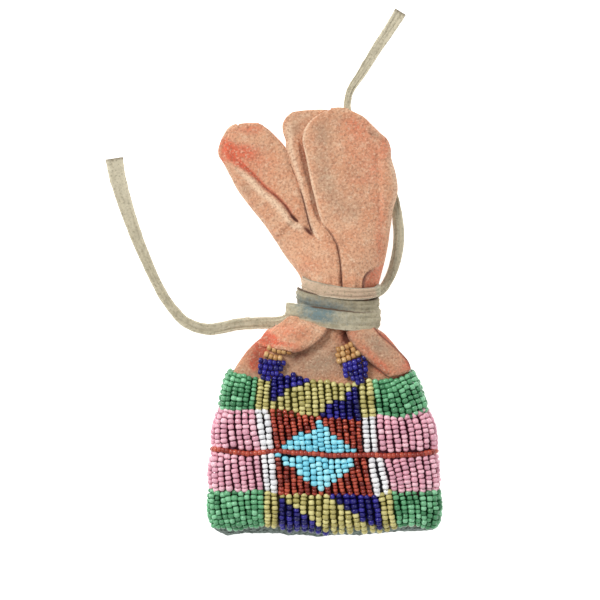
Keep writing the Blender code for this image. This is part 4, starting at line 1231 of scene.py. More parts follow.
@dataclass
class Pouch:
    """The filled hide pouch with its neck, its bottom welt and the pigment inside."""

    hide: Finish
    pigment: Finish
    sides: int = 168
    rows: int = 150
    welt_edge: tuple = (
        (214, 528.5), (217, 531), (221.5, 533), (226.4, 535.2), (231, 534.5), (237, 533.3),
        (248, 532.5), (258.6, 533), (274, 532.5), (281.5, 533.3), (289, 534.8), (297, 534),
        (304.5, 534.8), (320, 535.8), (331.5, 534.8), (343, 534), (358, 534.5), (366, 533.7),
        (373.6, 533), (385, 532), (396.5, 531), (412, 530.6), (426, 530.4), (433, 529.6),
    )

    def ring(self, y: float) -> Array:
        """Points round the pouch or its neck at a place along Y."""
        halves = []
        for front in (True, False):
            points = POUCH.half_section(min(y, NECK_LOW_Y), front)
            lengths = POUCH.lengths(points)
            ends = lengths[[0, -1]] if front else lengths[[-1, 0]]
            shares = 2 * np.arange(self.sides // 2) / self.sides
            halves.append(on_path(points, lengths, mix(*ends, shares)))
        body = np.concatenate(halves)
        body[:, 1] = y
        waist = float(ramp(*WAIST_SPAN, y))
        turns = 0.5 - np.arange(self.sides) / self.sides
        neck = np.array([POUCH.neck_oval(y, turn, -WAIST_DEPTH * waist) for turn in turns])
        share = ramp(*NECK_BLEND, y)
        return body * (1 - share) + neck * share

    def push(self, places: Array, rings: Array) -> Array:
        """How far gathers and lumps push the hide out, in millimetres."""
        turn = 2 * math.pi * np.arange(self.sides) / self.sides
        gather = ramp(-0.0165, -0.0015, places) * (1 - 0.5 * ramp(0.002, 0.008, places))
        waves = np.sin(11 * turn + 1.1) * 0.6 + np.sin(7 * turn + 4.0) * 0.5
        lumps = soft_noise(rings, 7.0, 3.0) * 0.22 + soft_noise(rings, 2.6, 9.0) * 0.06
        return gather[:, None] * waves * 0.55 + lumps * ramp(-0.019, -0.013, places)[:, None]

    def marks(self, rings: Array) -> dict:
        """Stains of the pouch and its seam, with painted shade under its beads, beside its pleats and along
        the top of the beads.
        """
        u, v = to_view(rings[..., 0], rings[..., 1])
        front = rings[..., 2] > NECK_Z
        red = blobs(
            u, v, (263, 344, 7, 7, 0, 1.8), (258, 356, 4, 10, 25, 1.5), (255, 366, 5, 6, 0, 0.7),
            (250, 352, 12, 12, 0, 0.42), (348, 336, 9, 12, 0, 0.9), (380, 366, 10, 5, 35, 1),
            (396, 372, 16, 5, 10, 0.8), (384, 338, 12, 8, 50, 0.8), (300, 335, 30, 12, -30, 0.45),
            (404, 358, 8, 14, -30, 0.7),
        )
        grey = blobs(u, v, (320, 364, 34, 16, 0, 0.75), (340, 345, 14, 14, 0, 0.3), (246, 372, 14, 8, 0, 0.5))
        # Dark mark: an even darkening and a darker spot below the tie, with painted shadow under the lower
        # edges of both pleats and a thin painted shade along the top of the beads
        soil = 0.25 + blobs(
            u, v, (347, 337, 5, 6, 0, 1.1), (300, 356, 14, 5, -35, 0.4), (322, 375, 90, 3, 0, 0.08),
            (257, 356, 9, 14, 20, 0.3), (372, 362, 5, 8, -40, 0.6),
        )
        bow = 1 - (rings[..., 0] / (0.82 * POUCH_HALF_WIDTH)) ** 2
        beads_from = BOTTOM_Y + (LANES[0].borders[0] - LANES[0].sags[0] * bow) * POUCH_LENGTH
        beads_from -= at_table(u, TOP_OF_1) / VIEW_SCALE
        seam = ramp(SEAM_FROM, SEAM_TO, rings[..., 1])
        return {
            **hide_marks(
                u, red=np.where(front, red, 0.35 * blobs(u, v, (300, 345, 60, 20, 0, 1))),
                grey=np.where(front, grey, 0.3), soil=soil, seam=seam,
            ),
            # Painted shade over all the hide under the beads
            "under": ramp(0.0002, -0.0010, rings[..., 1] - beads_from) * (1 - seam),
            "gap_tint": gap_tints(rings),
        }

    def shell(self) -> Piece:
        """Loft the hide from the bottom welt to the mouth's end of the neck."""
        places = np.linspace(BOTTOM_Y + HIDE_END, NECK_HIGH_Y - 0.0016, self.rows)
        rings = np.array([self.ring(y) for y in places])
        around = np.roll(rings, -1, axis=1) - np.roll(rings, 1, axis=1)
        normals = unit(np.cross(around, np.gradient(rings, axis=0)))
        rings = rings + normals * self.push(places, rings)[..., None] * MM
        end_y = from_view(0, at_table(to_view(rings[..., 0], 0)[0], self.welt_edge))[1]
        inset = np.maximum(end_y + HIDE_END - places[0], 0)
        rings[..., 1] += inset * ramp(0.0045, 0.0, rings[..., 1] - BOTTOM_Y)
        rings = rings[:, ::-1]
        return loft("pouch_hide", rings, self.hide, self.marks(rings))

    def welt(self) -> Piece:
        """Make the strip of hide along the bottom, with its frayed lower edge."""
        shares = np.linspace(-1, 1, 150)
        left_end, right_end = self.welt_edge[0][0], self.welt_edge[-1][0]
        places = (left_end + right_end) / 2 + (right_end - left_end) / 2 * shares
        x, low_y = from_view(places, at_table(places, self.welt_edge) + 0.5)
        high_y = np.maximum(BOTTOM_Y + WELT_TOP - 0.0012 * shares**6, low_y + 0.0004)
        rows = []
        for down in np.linspace(1, 0, 7):
            z = (7.0 - 3.0 * down**1.2 - 1.6 * shares**4) * MM
            rows.append(np.stack([x, mix(high_y, low_y, down), z], axis=1))
        top = np.array(rows)
        top[..., 2] += soft_noise(top, 2.2, 5.0) * 0.15 * MM
        top[0, :, 1] += soft_noise(top[0], 0.9, 1.0) * 0.2 * MM
        marks = hide_marks(np.zeros(top.shape[:2]), seam=1)
        return thick_sheet("bottom_welt", top, 1.5 * MM, self.hide, marks)

    def filling(self) -> Piece:
        """Make the lumpy pigment inside."""
        inset = HIDE_THICKNESS + 0.0011
        rings = []
        for y in np.linspace(BOTTOM_Y + WELT_TOP, NECK_LOW_Y - 0.0018, 40):
            front, back = (POUCH.half_section(y, side, inset)[::3] for side in (True, False))
            rings.append(np.concatenate([front[:-1], back[:0:-1]])[::-1])
        rings = np.array(rings)
        shrink = 0.03 + 0.03 * soft_noise(rings, 5.0, 2.0)[..., None]
        rings = mix(rings, rings.mean(axis=1, keepdims=True), shrink)
        return loft("paint_fill_pigment", rings, self.pigment, {})

    def build(self) -> None:
        """Make the pouch's pieces and hang them on their body."""
        hang(self.shell(), "hide", "pouch_front", "pouch_back", "neck_gather")
        hang(self.welt(), "hide_seam", "bottom_seam")
        hang(self.filling(), "ochre", "paint_fill")
        LOG.info("pouch: hide, welt and pigment")


@dataclass
class Sheet:
    """A tongue of hide given by rows across it in the view.

    Each row holds the left end's u, v and height, the right end's u, v and height, how far the
    row bows up the tongue and how far it crowns. U, v and the bow are in the view's units, and
    the heights and the crown in millimetres.
    """

    name: str
    rows: Rows
    hide: Finish
    cell: float = 0.42
    thickness: float = 1.15

    def grid(self) -> tuple[Array, Array, Array]:
        """Places of the upper face, and the shares across and along at each."""
        table = np.asarray(self.rows, dtype=float)
        middles = (table[:, 0:2] + table[:, 3:5]) / 2
        reach = np.linalg.norm(np.diff(middles, axis=0), axis=1).sum() / VIEW_SCALE
        width = np.linalg.norm(table[:, 0:2] - table[:, 3:5], axis=1).max() / VIEW_SCALE
        along = max(int(reach / (self.cell * MM)), 12)
        across = max(int(width / (self.cell * MM)), 12)
        s = np.linspace(0, 1, across + 1)[None, :]
        lines = np.array([along_table(self.rows, t) for t in np.linspace(0, 1, along + 1)])
        left_u, left_v, left_z, right_u, right_v, right_z, bow, crown = (c[:, None] for c in lines.T)
        arch = 4 * s * (1 - s)
        length = np.hypot(right_u - left_u, right_v - left_v) + 1e-9
        u = left_u + (right_u - left_u) * s + (right_v - left_v) / length * bow * arch
        v = left_v + (right_v - left_v) * s - (right_u - left_u) / length * bow * arch
        z = left_z + (right_z - left_z) * s + crown * arch
        x, y = from_view(u, v)
        t = np.linspace(0, 1, along + 1)[:, None] + 0 * s
        return np.stack([x, y, z * MM], axis=-1), s + 0 * t, t

    def build(self, relief: Callable, marks: Callable) -> Piece:
        """Make the sheet.

        Args:
            relief: Gives the height to add, in millimetres, at u, v, share across and share along.
            marks: Gives the stains at the same places.

        Returns:
            The piece.
        """
        top, s, t = self.grid()
        u, v = to_view(top[..., 0], top[..., 1])
        top[..., 2] += relief(u, v, s, t) * MM
        top[..., 2] += (soft_noise(top, 7.0, 1.7) * 0.34 + soft_noise(top, 2.4, 4.1) * 0.1) * MM
        top[..., 2] = np.maximum(top[..., 2], (self.thickness + FLOOR_GAP) * MM)
        return thick_sheet(self.name, top, self.thickness * MM, self.hide, marks(u, v, s, t))


@dataclass
class Mouth:
    """The hide above the tie: the throat with its lobes, and the back of the collar."""

    hide: Finish

    throat_rows: tuple = (
        (303.5, 292, 8, 346, 298, 11.6, 0, 2.4), (301.2, 280, 7.4, 346, 288, 11.4, 0, 2.6),
        (296, 270, 6.8, 346, 276, 11, 0, 2.5), (289.2, 261, 5.8, 346, 262, 10.4, 0, 2.1),
        (283, 252, 5, 344, 248, 9.4, 0, 1.7), (277.5, 243, 4.5, 336, 238.5, 8.2, 1, 1.2),
        (272, 235, 4, 322, 236, 7.5, 2, 0.9), (266, 226.5, 3.5, 312.5, 233.5, 7, 0, 0.9),
        (259.5, 218, 3.1, 308, 223, 6.2, 0, 1), (252, 208.5, 2.8, 305.5, 211, 5.4, 0, 1.1),
        (243.5, 197.5, 2.4, 303, 199, 4.7, 0, 1.2), (236.5, 187, 2.1, 299, 187, 4.1, 0, 1.1),
        (231.5, 177, 1.9, 294.5, 176, 3.6, 0, 1), (226.5, 167.5, 1.8, 290, 163.5, 3.1, 0, 0.8),
        (221.6, 158.5, 1.7, 287, 152, 2.7, 0, 0.7), (219.9, 151, 1.7, 281.5, 143.5, 2.4, 1, 0.6),
        (221.6, 143.5, 1.7, 274, 135.5, 2.1, 2, 0.5), (225.2, 135.5, 1.6, 267.5, 129, 1.9, 1.5, 0.4),
        (230, 128.5, 1.6, 265, 127, 1.8, 0.6, 0.3), (235.6, 125.4, 1.6, 261.5, 124.2, 1.7, 0.7, 0.2),
    )
    middle_rows: tuple = (
        (317, 247, 7.3, 346, 251, 9.5, 0, 0.5), (314.6, 239, 7.5, 343, 243, 9, 0, 0.6),
        (309, 228, 5.6, 336, 232, 7.6, 0, 1.3), (305, 217, 4.4, 330, 220, 6.4, 0, 1.5),
        (302.5, 206.5, 3.8, 325, 208, 5.3, 0, 1.3), (299.5, 193, 3.4, 321, 195, 4.4, 0, 1),
        (298.4, 180.5, 3.9, 318, 182, 3.5, 0, 0.4), (294, 169, 3.2, 316, 169, 2.8, 0, 0.3),
        (290.2, 158, 2.7, 314, 157, 2.2, 0, 0.3), (287.4, 147.5, 2.3, 313, 146, 1.9, 0, 0.3),
        (286.6, 139, 2, 314, 136, 1.8, 0, 0.3), (284.6, 132, 1.9, 317, 127, 1.7, 0, 0.2),
        (284.2, 124.5, 1.8, 322, 119.5, 1.7, 0, 0.2), (287.5, 118, 1.7, 325, 115, 1.6, 1, 0.15),
        (292.5, 113.6, 1.7, 327, 111.5, 1.6, 1.2, 0.1),
    )
    right_rows: tuple = (
        (342.6, 292, 12.2, 376, 296, 7.4, 0, 1.6), (342.2, 282, 12.8, 378.5, 285, 6.8, 0, 2.3),
        (341.6, 270, 12.7, 382, 272, 6.3, 0, 2.2), (340.2, 257, 12.2, 385.5, 258, 5.6, 0, 2),
        (337.6, 245, 11.3, 388, 245, 5, 0, 1.8), (331.5, 234, 10.1, 389.5, 233, 4.6, 0, 1.6),
        (323, 223, 8.8, 391, 223, 4.3, 0, 1.4), (318.6, 210, 7.6, 392.5, 210, 4, 0, 1.2),
        (315.2, 196, 6.6, 396, 198, 3.7, 0, 1), (312, 183, 5.8, 397.2, 186.5, 3.4, 0, 0.9),
        (309, 168, 5, 395, 172.5, 3.3, 0, 0.8), (306, 153, 4.3, 390.8, 158, 3.3, 0, 0.6),
        (303.4, 142, 3.7, 390, 147.5, 3.2, 0, 0.5), (304, 133, 3.4, 386.5, 138.5, 3.2, 0, 0.4),
        (307.5, 125.5, 3.3, 379.5, 132, 3.2, 1, 0.3), (312.5, 119, 3.2, 371.5, 124, 3.1, 2, 0.25),
        (320.5, 113.4, 3.2, 363, 116, 3, 2.2, 0.2), (330, 109.4, 3.1, 350, 109.8, 2.9, 0.9, 0.1),
    )
    back_rows: tuple = (
        (310, 290, 3.2, 372, 290, 3.2, 0, -0.9), (316, 274, 2.4, 376, 274, 2.4, 0, -0.7),
        (318, 258, 2, 376, 258, 2, 0, -0.5), (316, 236, 1.7, 372, 236, 1.7, 2, -0.2),
    )
    fold_line: tuple = (
        (227, 142.4), (234.2, 158.2), (243.9, 166.6), (254.8, 176.3), (264.5, 187.2), (276.6, 196.9),
        (285.1, 205.4), (292.4, 216.3), (297.2, 221.2),
    )
    shade_line: tuple = (
        (300.3, 135.1), (300.9, 148.5), (304.5, 166.6), (306.9, 177.5), (310.6, 187.2), (313, 203),
        (316.6, 215.1), (321.5, 222.4),
    )
    pocket_line: tuple = (
        (362, 300), (362.2, 283.5), (363, 279), (364.8, 275), (368, 271.6), (373, 268.6),
        (378.5, 265.4), (384, 262.5),
    )
    right_fold: tuple = ((377, 150), (378.5, 170), (379.5, 190), (380, 215))
    crease_line: tuple = ((348, 176.5), (362, 177.5), (378, 176))
    # V and u of the seam between the throat and the right lobe, and of the middle lobe's left side
    seam_line: tuple = ((228, 327), (236, 333), (244, 337), (253, 339), (267, 341), (281, 341.5))
    left_side: tuple = ((165, 291.5), (185, 300), (203, 305), (222, 309.5), (237, 314.5))
    throat_bottom: float = 262
    seam_top: float = 226

    def throat_relief(self, u, v, s, t):
        """Gathers at the tie, and the outer strip that folds over the left lobe."""
        gathers = np.sin(s * 34 + v * 0.02) * 0.22 * ramp(262, 284, v)
        distance, along, side = distance_to_line(u, v, self.fold_line)
        outer = (side > 0) * ramp(0.0, 0.12, along) * ramp(1.0, 0.9, along)
        step = 0.6 * outer * (1 - bell(distance, 3.2))
        lip = 0.55 * outer * bell(distance - 5, 4.0)
        groove = -1.05 * bell(distance, 1.3) * ramp(0.03, 0.5, along) * ramp(1.0, 0.97, along)
        rolled = -1.2 * ramp(0.1, 0.0, s)
        edge = -0.5 * ramp(0.93, 1.0, s) * (v < 232)
        return gathers + step + lip + groove + rolled + edge

    def throat_marks(self, u, v, s, t) -> dict:
        """Stains of the throat and the left lobe, with painted shade in its folds and a painted highlight
        beside the fold.
        """
        distance, along, side = distance_to_line(u, v, self.fold_line)
        inner = side <= 0
        red = blobs(
            u, v, (227, 146, 6, 13, -30, 0.7), (243, 151, 15, 8, 20, 0.6), (234, 160, 14, 4, 42, 0.75),
            (250, 129, 18, 6, 0, 0.5), (222, 160, 4, 9, -20, 0.6), (260, 160, 30, 17, 40, 0.29),
            (306, 268, 14, 10, 0, 0.3), (290, 240, 8, 16, 30, 0.2),
        )
        red += 0.3 * inner * np.exp(-distance / 5) * ramp(0.05, 0.2, along)
        red += 0.6 * bell(distance, 1.9) * ramp(0.0, 0.12, along) * ramp(0.95, 0.8, along)
        # Painted shade: a dark line in the fold's crease, the V crevice and the slit, and a painted shadow
        # line beside the right lobe's edge
        soil = bell(distance, 1.3) * (0.3 + 0.55 * ramp(0.15, 0.9, along)) * ramp(0.02, 0.1, along)
        soil += blobs(u, v, (308.5, 231.5, 7, 2.0, 45, 1.1), (294, 218.8, 4, 1.0, 40, 1.1))
        soil += bell(u - at_table(v, self.seam_line), 1.6) * 0.9 * (v > self.seam_top)
        # Painted highlight on the outer strip's ridge beside the fold
        pale = (1 - inner) * bell(distance - 6, 4) * 0.8 * ramp(0.1, 0.3, along)
        pale += 0.5 * ramp(0.06, 0.0, s)
        grey = blobs(u, v, (246, 190, 8, 12, -40, 0.5), (300, 222, 20, 12, 0, 0.2))
        return hide_marks(u, red=red, soil=soil, pale=pale, grey=grey)

    def middle_relief(self, u, v, s, t):
        """The rolled strip down its left side and the hollow beside the right lobe."""
        strip = 0.45 * bell(s - 0.2, 0.2) * ramp(0.98, 0.7, t)
        distance, _, side = distance_to_line(u, v, self.shade_line)
        hollow = -0.8 * np.where(side < 0, 1, bell(distance, 2.0)) * ramp(132, 150, v)
        return strip + hollow * (v < self.seam_top) * ramp(0.0, 0.1, t) - 1.3 * ramp(0.09, 0.0, t)

    def middle_marks(self, u, v, s, t) -> dict:
        """Stains of the middle lobe, with painted shadow beside the right lobe, along its slit and at its
        seam.
        """
        distance, _, side = distance_to_line(u, v, self.shade_line)
        # Painted shadow in the hollow beside the right lobe
        soil = 0.5 * np.where(side < 0, 1, bell(distance, 2.4))
        soil *= ramp(132, 156, v) * ramp(228, 214, v)
        soil += blobs(u, v, (298, 130, 8, 5, 0, 0.3), (310, 120, 8, 5, 0, 0.25))
        # Painted shade along the slit on the left side and a painted shadow line at the seam with the right
        # lobe
        beside = u - at_table(v, self.left_side)
        soil += 0.9 * ramp(1.2, -1.2, beside) * ramp(182, 196, v) * (v < 238)
        soil += bell(u - at_table(v, self.seam_line), 1.8) * 0.9 * (v > self.seam_top)
        red = blobs(u, v, (305, 150, 5, 18, 0, 0.4), (312, 128, 6, 8, 0, 0.3))
        grey = blobs(u, v, (300, 120, 18, 12, 0, 0.4), (292, 135, 8, 10, 0, 0.3))
        pale = 0.7 * bell(s - 0.12, 0.14) * ramp(0.98, 0.75, t)
        return hide_marks(u, red=red, soil=soil, pale=pale, grey=grey)

    def pocket(self, u, v):
        """Distance from the pocket's line at the tie, and 1 inside the pocket."""
        away, _, side = distance_to_line(u, v, self.pocket_line)
        return away, (side > 0) * (v > self.throat_bottom) * (u > 360)

    def right_relief(self, u, v, s, t):
        """The rolled right side, its fold, the crease and the pocket at the tie."""
        fold = 0.35 * bell(distance_to_line(u, v, self.right_fold)[0], 1.8)
        roll = 0.45 * ramp(0, 5, u - 379) - fold
        roll *= ramp(140, 160, v) * ramp(235, 205, v)
        crease = 0.22 * bell(distance_to_line(u, v, self.crease_line)[0], 1.4)
        away, inside = self.pocket(u, v)
        gathers = np.sin(s * 22 + 1.0) * 0.2 * ramp(262, 286, v)
        droop = 0.9 * ramp(0.955, 1.0, s) + 0.35 * ramp(0.03, 0.0, s)
        return roll - crease - inside * ramp(0, 3.4, away) + gathers - droop

    def right_marks(self, u, v, s, t) -> dict:
        """Stains of the right lobe, with painted shade in the pocket, in the crease and along its lower left
        edge.
        """
        away, inside = self.pocket(u, v)
        red = blobs(
            u, v, (362, 133, 16, 14, 0, 0.28), (376, 152, 14, 18, 0, 0.28), (350, 122, 18, 9, 0, 0.3),
            (386, 146, 6, 12, 0, 0.3), (370, 172, 18, 14, 0, 0.3), (381, 215, 9, 26, 0, 0.32),
            (348, 150, 16, 18, 0, 0.22), (352, 182, 24, 5, 0, 0.18), (366, 198, 18, 9, 0, 0.22),
            (380, 250, 7, 20, 0, 0.34),
        )
        red = np.maximum(red, inside * (0.4 + 0.16 * ramp(0, 4, away)))
        # Painted shade at the pocket's left rim
        rim = bell(away - 0.6 * inside, np.where(inside > 0, 2.2, 0.8))
        soil = rim * 0.75 * ramp(378, 367, u) * (v > self.throat_bottom) * (u > 358)
        soil += blobs(
            u, v, (370.5, 133.5, 3.5, 1.6, 35, 0.6), (336, 170, 18, 1.2, 5, 0.12), (340, 126, 18, 14, 0, 0.14)
        )
        # Painted shade in the crease and a painted shadow line along the lower left edge
        soil += 0.28 * bell(distance_to_line(u, v, self.crease_line)[0], 1.3)
        soil += 0.5 * ramp(0.03, 0.0, s) * ramp(218, 232, v)
        grey = blobs(
            u, v, (322, 132, 14, 14, 0, 0.4), (323, 160, 14, 30, 0, 0.36), (345, 205, 22, 28, 0, 0.34),
            (374, 133, 9, 3, 40, 0.8), (352, 168, 12, 16, 0, 0.26), (340, 118, 14, 6, 0, 0.26),
            (330, 190, 8, 30, -20, 0.26),
        )
        pale = 0.75 * ramp(0.035, 0.0, s) * ramp(236, 214, v)
        pale += 0.6 * ramp(0.9, 0.99, s) * ramp(140, 165, v) * ramp(250, 215, v)
        return hide_marks(u, red=red, soil=soil, pale=pale, grey=grey)

    def back_relief(self, u, v, s, t):
        """Shallow gathers of the back."""
        return 0.12 * np.sin(s * 18)

    def back_marks(self, u, v, s, t) -> dict:
        """Even stains of the back."""
        return hide_marks(u, red=0.6, soil=0.1, grey=0.2)

    def build(self) -> None:
        """Make the sheets, and hang the middle lobe and the back on the pouch."""
        throat = Sheet("mouth_throat_and_left_lobe", self.throat_rows, self.hide)
        piece = throat.build(self.throat_relief, self.throat_marks)
        dress(piece, "hide", "mouth_throat", "mouth_lobe_left")
        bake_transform(piece)

        middle = Sheet("mouth_middle_lobe", self.middle_rows, self.hide)
        hang(middle.build(self.middle_relief, self.middle_marks), "hide", "mouth_lobe_middle")

        right = Sheet("mouth_right_lobe", self.right_rows, self.hide)
        piece = right.build(self.right_relief, self.right_marks)
        dress(piece, "hide", "mouth_lobe_right")
        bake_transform(piece)

        back = Sheet("mouth_back_of_collar", self.back_rows, self.hide, cell=0.6)
        hang(back.build(self.back_relief, self.back_marks), "hide_inner", "mouth_back")
        LOG.info("mouth: throat with left lobe, middle lobe, right lobe, back")


@dataclass
class Shoulders:
    """The two pleats of hide folded over the pouch's shoulders."""

    hide: Finish

    left_rows: tuple = (
        (290.5, 318.5, 0, 331, 322, 0, 0, 0), (279, 326.5, 0, 326.5, 329, 0, 0, 0),
        (269.5, 333, 0, 317.5, 338.5, 0, 0, 0), (263.5, 340, 0, 305.5, 345.5, 0, -1, 0),
        (261, 344.5, 0, 294, 348.5, 0, -1.5, 0),
    )
    right_rows: tuple = (
        (343.5, 323, 0, 368, 325, 0, 0, 0), (348.5, 333, 0, 376, 333.5, 0, 0, 0),
        (357, 345, 0, 386.5, 343.5, 0, 0, 0), (367.5, 356, 0, 396, 352.5, 0, 0, 0),
        (379.5, 366, 0, 404, 361.5, 0, 0, 0), (390, 373.5, 0, 407, 369, 0, -1.5, 0),
    )

    tie_edge: tuple = (
        (285, 316), (290, 316.3), (301, 321.7), (322, 325.5), (334, 327.8), (352.5, 329.7),
        (367.8, 329.7), (377, 327.8), (390, 326),
    )

    def relief(self, low: float, high: float, feather_left: bool, u, v, s, t):
        """Height of a pleat that lies on the shoulder.

        Args:
            low: Height over the hide at the feathered side, in millimetres.
            high: Height over the hide at the free side, in millimetres.
            feather_left: True when the left side is the feathered one.
            u: Places to the right in the view.
            v: Places down the view.
            s: Shares across the pleat.
            t: Shares along it; not used.

        Returns:
            The height of the pouch's front, with the pleat's own lift over it.
        """
        share = s if feather_left else 1 - s
        lift = mix(low, high, ramp(0.0, 0.55, share))
        lift = mix(-1.2, lift, ramp(-3, 7, v - at_table(u, self.tie_edge)))
        rounded = 0.35 * ramp(0.93, 1.0, share)
        return POUCH.front_height(*from_view(u, v)) / MM + lift - rounded + 0.12 * np.sin(s * 9 + v * 0.2)

    def left_marks(self, u, v, s, t) -> dict:
        """Stains of the left pleat, with painted shade along its free edge."""
        red = blobs(
            u, v, (269, 341, 9, 6, 15, 1.8), (286, 345, 15, 3.5, 10, 0.6), (290, 332, 26, 10, 12, 0.4)
        )
        # Painted shade along the free edge, and darker patches
        soil = 0.35 * ramp(0.96, 1.0, s)
        soil += blobs(u, v, (268, 342, 9, 6, 15, 0.34), (300, 335, 30, 14, 0, 0.18))
        return hide_marks(u, red=red, soil=soil, pale=blobs(u, v, (305, 332, 14, 4, -30, 0.15)))

    def right_marks(self, u, v, s, t) -> dict:
        """Stains of the right pleat, with painted shade along both its edges."""
        red = 0.55 * ramp(0.85, 1.0, s) + blobs(
            u, v, (382, 366, 14, 5, 40, 0.6), (402, 368, 7, 8, 0, 0.6), (352, 335, 8, 8, 0, 0.4),
            (366, 350, 12, 5, 45, 0.4),
        )
        # An even darkening, with painted shade in the crease along the outer edge and along the free edge
        soil = 0.26 + 0.4 * ramp(0.93, 1.0, s) + 0.3 * ramp(0.07, 0.0, s)
        return hide_marks(u, red=red, soil=soil, grey=blobs(u, v, (377, 347, 9, 20, -45, 0.75)))

    def build(self) -> None:
        """Make both pleats."""
        for side, rows, low, feather_left, marks in (
            ("left", self.left_rows, -0.5, True, self.left_marks),
            ("right", self.right_rows, 0.4, False, self.right_marks),
        ):
            pleat = Sheet(f"shoulder_pleat_{side}_hide", rows, self.hide, cell=0.4)
            piece = pleat.build(partial(self.relief, low, 1.5, feather_left), marks)
            hang(piece, "hide", f"shoulder_pleat_{side}")
        LOG.info("shoulders: two pleats")


# The thong


@dataclass
class Tie:
    """One flat thong: its winding round the neck and its two free tails."""

    thong: Finish
    width: float = 0.0034
    thickness: float = 0.0013
    pitch: float = 0.0040
    below_mouth: float = 0.00885
    slant: float = 0.0022
    sag: float = 0.0017
    start_turn: float = 0.47
    end_turn: float = -1.958
    front_turn: float = 0.25
    crease_depth: float = 0.00024
    tuck: float = 0.13

    wrap_widths: tuple = (
        (-2.05, 2.6), (-1.94, 3), (-1.6, 3.9), (-1.3, 3.4), (-1, 3.6), (-0.75, 4.2), (-0.5, 4.3),
        (-0.1, 4.8), (0.1, 5.3), (0.25, 5.6), (0.4, 5.2), (0.5, 4.6), (0.6, 4),
    )
    wrap_shifts: tuple = (
        (-2.05, 0), (-1.96, 0), (-1.85, 0.5), (-1.7, 0.4), (-1.5, -1.2), (-1.3, -0.4), (-0.9, -0.1),
        (-0.6, -0.3), (-0.5, -0.5), (-0.35, -0.1), (0, 0.4), (0.36, 0.6), (0.44, 1.3), (0.5, 1.8),
        (0.6, 0.5),
    )
    wrap_slides: tuple = (
        (-2.05, 0), (-1.95, 0), (-1.8, -0.45), (-1.45, -0.5), (-1.2, 0), (-0.2, 0), (0.1, 0.1),
        (0.3, 0.2), (0.4, 0), (0.5, -0.4), (0.6, 0),
    )

    left_route: tuple = (
        (-0.0078, 0.003, 0.0062), (-0.0098, 0.0012, 0.0046), (-0.0116, 0.0003, 0.0026),
        (-0.014, -0.0001, 0.0012), (-0.0172, -0.0001, 0.0008), (-0.024, -0.0005, 0.0008),
        (-0.0322, -0.0019, 0.0008), (-0.0385, 0.0001, 0.0008), (-0.0424, 0.004, 0.0008),
        (-0.0457, 0.009, 0.0008), (-0.0499, 0.0179, 0.0008), (-0.054, 0.0285, 0.0008),
        (-0.0574, 0.0396, 0.0008), (-0.0585, 0.0457, 0.0008),
    )
    right_route: tuple = (
        (0.0142, 0.0078, 0.0062), (0.0158, 0.009, 0.0044), (0.0172, 0.0108, 0.0022),
        (0.0189, 0.0143, 0.0009), (0.0203, 0.0196, 0.0008), (0.0207, 0.025, 0.0008),
        (0.0199, 0.0314, 0.0008), (0.018, 0.0386, 0.0008), (0.0145, 0.0456, 0.0008),
        (0.0099, 0.0521, 0.0008), (0.0066, 0.0585, 0.0008), (0.007, 0.064, 0.0008),
        (0.0104, 0.0695, 0.0008), (0.0144, 0.076, 0.0008), (0.0183, 0.0818, 0.0008),
        (0.0212, 0.0865, 0.0008),
    )
    left_widths: tuple = (3.2, 3.3, 3.4, 3.3, 3.0, 2.8, 2.9, 3.3, 3.8, 4.4, 5.0)
    right_widths: tuple = (2.4, 2.8, 3.1, 3.0, 2.8, 2.4, 1.9, 2.1, 2.7, 3.1, 3.5)
    curls: tuple = (0.05, 0.1, 0.15, 0.3, 0.5)

    def wrap_point(self, turn: float) -> Array:
        """Centre of the thong at a turn round the neck."""
        angle = 2 * math.pi * turn
        hang_down = self.slant * math.cos(angle) + self.sag * max(math.sin(angle), 0)
        y = NECK_HIGH_Y - self.below_mouth + self.pitch * (self.front_turn - turn) - hang_down
        return POUCH.neck_oval(y, turn, GAP + self.thickness / 2)

    @staticmethod
    def upper_crease(length):
        """Place of the upper long crease across the thong, which wanders with the length."""
        return 0.42 + 0.16 * np.sin(length / MM / 5.1 + 0.7)

    def sweep(self, name: str, centres: Array, ups: Array, width, thickness, curl, marks: Callable):
        """Sweep a flat rolled profile along a line.

        Args:
            name: The piece's name.
            centres: Points of the line.
            ups: Which way the thong's upper face looks at each point.
            width: The thong's width at each point, in metres.
            thickness: Its thickness in metres.
            curl: How far the edges curl up at each point, in metres.
            marks: Gives the stains from the length along it and the share across it.

        Returns:
            The piece.
        """
        run = unit(np.gradient(centres, axis=0))
        side = unit(np.cross(run, ups))
        up = np.cross(side, run)
        around = np.linspace(0, 2 * math.pi, 49)[:-1]
        across, over = (np.sign(wave) * np.abs(wave) ** 0.85 for wave in (np.cos(around), np.sin(around)))
        length = path_lengths(centres)[:, None]
        wander = length / MM
        creases = bell(across - self.upper_crease(length), 0.13)
        creases = creases + 0.7 * bell(across + 0.38 - 0.2 * np.sin(wander / 7.3 + 2.1), 0.11)
        folds = np.sin(9 * across + 1.2 * np.sin(wander / 4.3) + wander / 9) * 0.35
        folds = folds + np.sin(17 * across - 1.5 * np.sin(wander / 3.1 + 1)) * 0.2
        lift = curl[:, None] * (np.abs(across) ** 2.5 - 0.3)
        offset_up = thickness / 2 * over + lift - self.crease_depth * (creases + folds) * (over > 0)
        side, up = side[:, None, :], up[:, None, :]
        offset_side = width[:, None] / 2 * across
        rings = centres[:, None, :] + side * offset_side[..., None] + up * offset_up[..., None]
        rough = (soft_noise(rings, 1.6, 2.2) * 0.12 + soft_noise(rings, 0.6, 6.0) * 0.04) * MM
        rings += up * rough[..., None] + side * (rough * across)[..., None]
        rings[..., 2] = np.maximum(rings[..., 2], FLOOR_GAP * MM)
        return loft(name, rings, self.thong, marks(length + 0 * across, across + 0 * length, rings))

    def turns(self) -> Array:
        """Turns round the neck, from the tucked start to the tucked end."""
        return np.linspace(self.start_turn + self.tuck, self.end_turn - self.tuck, 330)

